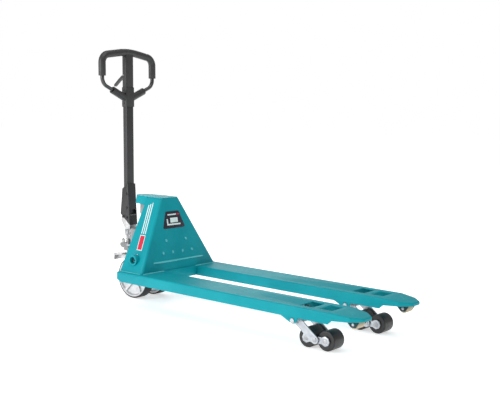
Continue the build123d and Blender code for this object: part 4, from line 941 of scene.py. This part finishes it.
@dataclass
class LiftUnit:
    """Pump, cylinder, steering post, thrust collar, rocker and pedal."""

    casting_edge: float = 2.0
    pin_edge: float = 0.6
    cheek_half: float = 30.0
    lever_thick: float = 9.0
    lever_edge: float = 1.4
    # Corners of the valve lever: distance ahead of the pump's rear end, and height.
    lever_shape: tuple[tuple[float, float], ...] = (
        (1.5, 234.0),
        (14.0, 231.0),
        (18.5, 256.0),
        (12.0, 267.0),
        (5.0, 268.0),
        (0.8, 258.0),
    )
    valve_pin: tuple[float, float] = (10.0, 258.0)
    valve_pin_radius: float = 3.5
    valve_pin_length: float = 17.0
    washer_radius: float = 12.5
    washer_thick: float = 3.0
    bolt_radius: float = 5.0
    cap_edge: float = 0.7

    def build(self) -> None:
        """Models the lift unit."""
        softened("pump_body", self.casting_edge, "grey_paint")
        softened("ram_cylinder", 1.2, "grey_paint")
        softened("king_post", self.casting_edge, "grey_paint")
        softened("pump_plugs", 0.5, "zinc")
        softened("unit_pins", self.pin_edge, "steel")
        softened("steering_axle", self.pin_edge, "steel")
        softened("thrust_collar", 1.2, "zinc")
        softened("thrust_bearing", self.pin_edge, "steel")
        softened("collar_pins", self.pin_edge, "steel")
        softened("rocker_arms", 1.0, "zinc")
        softened("rocker_shafts", 0.8, "steel")
        softened("pump_plunger", self.pin_edge, "steel")
        softened("release_pedal", 2.0, "cast_alloy")
        paint(frame["nodes"]["plunger_spring"], "steel")
        self.valve_lever()
        self.caps()

    def valve_lever(self) -> None:
        """Models the short lever that opens the lowering valve behind the pump."""
        low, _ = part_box("pump_body")
        aside = -0.5 * self.lever_thick * MM
        points = [(low.x + ahead * MM, aside, z * MM) for ahead, z in self.lever_shape]
        lever = outline("valve_lever", points, self.lever_thick, ALONG_Y)
        round_edges(lever, self.lever_edge, degrees=35.0)
        smooth(lever)
        fit(lever, "steer_unit", "cast_alloy")
        ahead, z = self.valve_pin
        place = (low.x + ahead * MM, 0.0, z * MM)
        pin = disc("valve_pin", place, self.valve_pin_radius, self.valve_pin_length)
        fit(pin, "steer_unit", "steel")

    def caps(self) -> None:
        """Models washers on the pivot pin and bolts in the pump's cheeks, copied to both sides."""
        pivot = joint_place("handle_tilt")
        reach = (self.cheek_half + self.washer_thick / 2) * MM
        middle = Vector((pivot.x, 0.0, pivot.z))
        washer = disc("washer", middle, self.washer_radius, self.washer_thick, self.cap_edge)
        head = disc("head", middle, self.bolt_radius, self.bolt_radius, self.cap_edge, 6)
        for side, sign in SIDES:
            shift = Vector(ALONG_Y) * sign * reach
            fit(copy_of(washer, f"{side}_pivot_washer", shift), "steer_unit", "steel")
            for name, ahead, rise in (("upper", 26.0, 8.0), ("lower", 24.0, -14.0)):
                spot = shift + Vector((ahead, 0.0, rise)) * MM
                fit(copy_of(head, f"{side}_{name}_cheek_bolt", spot), "steer_unit", "zinc")
        for piece in (washer, head):
            bpy.data.objects.remove(piece)


@dataclass
class Handle:
    """Casting, tube, loop and lever of the steering handle."""

    casting_edge: float = 1.6

    def build(self) -> None:
        """Models the handle."""
        softened("handle_casting", self.casting_edge, "cast_alloy")
        softened("cam_roller", 0.5, "steel")
        softened("handle_bracket", 0.8, "black_paint")
        softened("handle_bolts", 0.5, "black_paint")
        softened("handle_tube", 0.8, "black_paint")
        softened("handle_pins", 0.4, "steel")
        softened("loop_socket", 1.5, "black_plastic")
        softened("loop_tubes", 0.5, "black_gloss")
        softened("loop_grip", 1.0, "black_plastic")
        softened("control_column", 2.0, "black_plastic")
        softened("control_lever", self.casting_edge, "black_plastic")
        softened("pull_rod", 0.4, "steel")


@dataclass
class Studio:
    """Camera, lights, floor and background, with lengths in metres unless a name says mm."""

    azimuth: float = 38.966
    elevation: float = 5.747
    roll: float = 1.437
    distance: float = 3.8013
    lens_mm: float = 62.66088
    sensor_mm: float = 36.0
    aim: tuple[float, float, float] = (0.156, 0.0, 0.300)
    aim_right: float = -0.07468
    aim_up: float = 0.23357
    shift: tuple[float, float] = (0.0065, -0.0012)
    farthest: float = 60.0
    floor_drop: float = 0.0005
    lit_middle: tuple[float, float, float] = (0.0, 0.0, 0.35)
    ambient: float = 0.5
    floor_glow: float = 0.56

    def build(self) -> None:
        """Sets up the whole studio."""
        self.camera()
        self.floor()
        self.light("side_light", (-1.8, -4.2, 1.6), 2.6, 120.0)
        self.light("top_light", (0.6, -0.4, 4.6), 3.6, 70.0)
        self.light("back_light", (-3.6, 3.2, 2.6), 2.6, 50.0)
        self.backdrop()
        bpy.context.scene.view_settings.view_transform = "Standard"

    def axes(self) -> tuple[Vector, Vector, Vector]:
        """Gives the camera's right, up and backward directions."""
        turn, rise, roll = (math.radians(v) for v in (self.azimuth, self.elevation, self.roll))
        level = math.cos(rise)
        back = Vector((math.sin(turn) * level, -math.cos(turn) * level, math.sin(rise)))
        right = Vector((math.cos(turn), math.sin(turn), 0.0))
        up = back.cross(right)
        rolled_right = right * math.cos(roll) + up * math.sin(roll)
        rolled_up = up * math.cos(roll) - right * math.sin(roll)
        return rolled_right, rolled_up, back

    def camera(self) -> None:
        """Places the camera."""
        right, up, back = self.axes()
        target = Vector(self.aim) + right * self.aim_right + up * self.aim_up
        bpy.ops.object.camera_add(location=target + back * self.distance)
        camera = bpy.context.view_layer.objects.active
        camera.name = "camera"
        matrix = camera.matrix_world.copy()
        for column, axis in enumerate((right, up, back)):
            for row in range(3):
                matrix[row][column] = axis[row]
        camera.matrix_world = matrix
        camera.data.sensor_width = self.sensor_mm
        camera.data.lens = self.lens_mm
        camera.data.shift_x, camera.data.shift_y = self.shift
        camera.data.clip_end = self.farthest
        bpy.context.scene.camera = camera

    def floor(self) -> None:
        """Lays a plain pale floor that fades into the background."""
        place = (0.0, 0.0, -self.floor_drop)
        plane = primitive("plane", "floor", size=self.farthest, location=place)
        paper = StudioPaper("pale studio floor", "#fafafa", "#f6f7f7", self.floor_glow)
        plane.data.materials.append(paper.make())

    def light(self, name: str, place: Point, size: float, power: float) -> None:
        """Adds a soft square light that faces the middle of the truck.

        Args:
            name: Name of the light.
            place: Where it hangs, in metres.
            size: Side of the light in metres.
            power: Power in watts.
        """
        bpy.ops.object.light_add(type="AREA", location=place)
        lamp = bpy.context.view_layer.objects.active
        lamp.name = name
        lamp.data.size = size
        lamp.data.energy = power
        facing = Vector(self.lit_middle) - Vector(place)
        lamp.rotation_euler = facing.to_track_quat("-Z", "Y").to_euler()

    def backdrop(self) -> None:
        """Makes the world: white where it is seen, and dimmer where it lights the truck."""
        world = bpy.data.worlds.new("studio")
        bpy.context.scene.world = world
        world.use_nodes = True
        tree = world.node_tree
        tree.nodes.clear()
        seen = put(tree, "LightPath", {}, {}).outputs["Is Camera Ray"]
        strength = put(tree, "MapRange", {"To Min": self.ambient, "To Max": 1.0}, {"Value": seen})
        glow = put(tree, "Background", {"Color": WHITE}, {"Strength": strength})
        put(tree, "OutputWorld", {}, {"Surface": glow})


def main() -> None:
    """Builds the studio and every sub-assembly."""
    logging.basicConfig(level=logging.INFO, format="%(message)s")
    Studio().build()
    for assembly in (Chassis(), LoadWheels(), SteerWheels(), LiftUnit(), Handle()):
        assembly.build()
        log.info("%s is built", type(assembly).__name__)


if __name__ == "__main__":
    main()
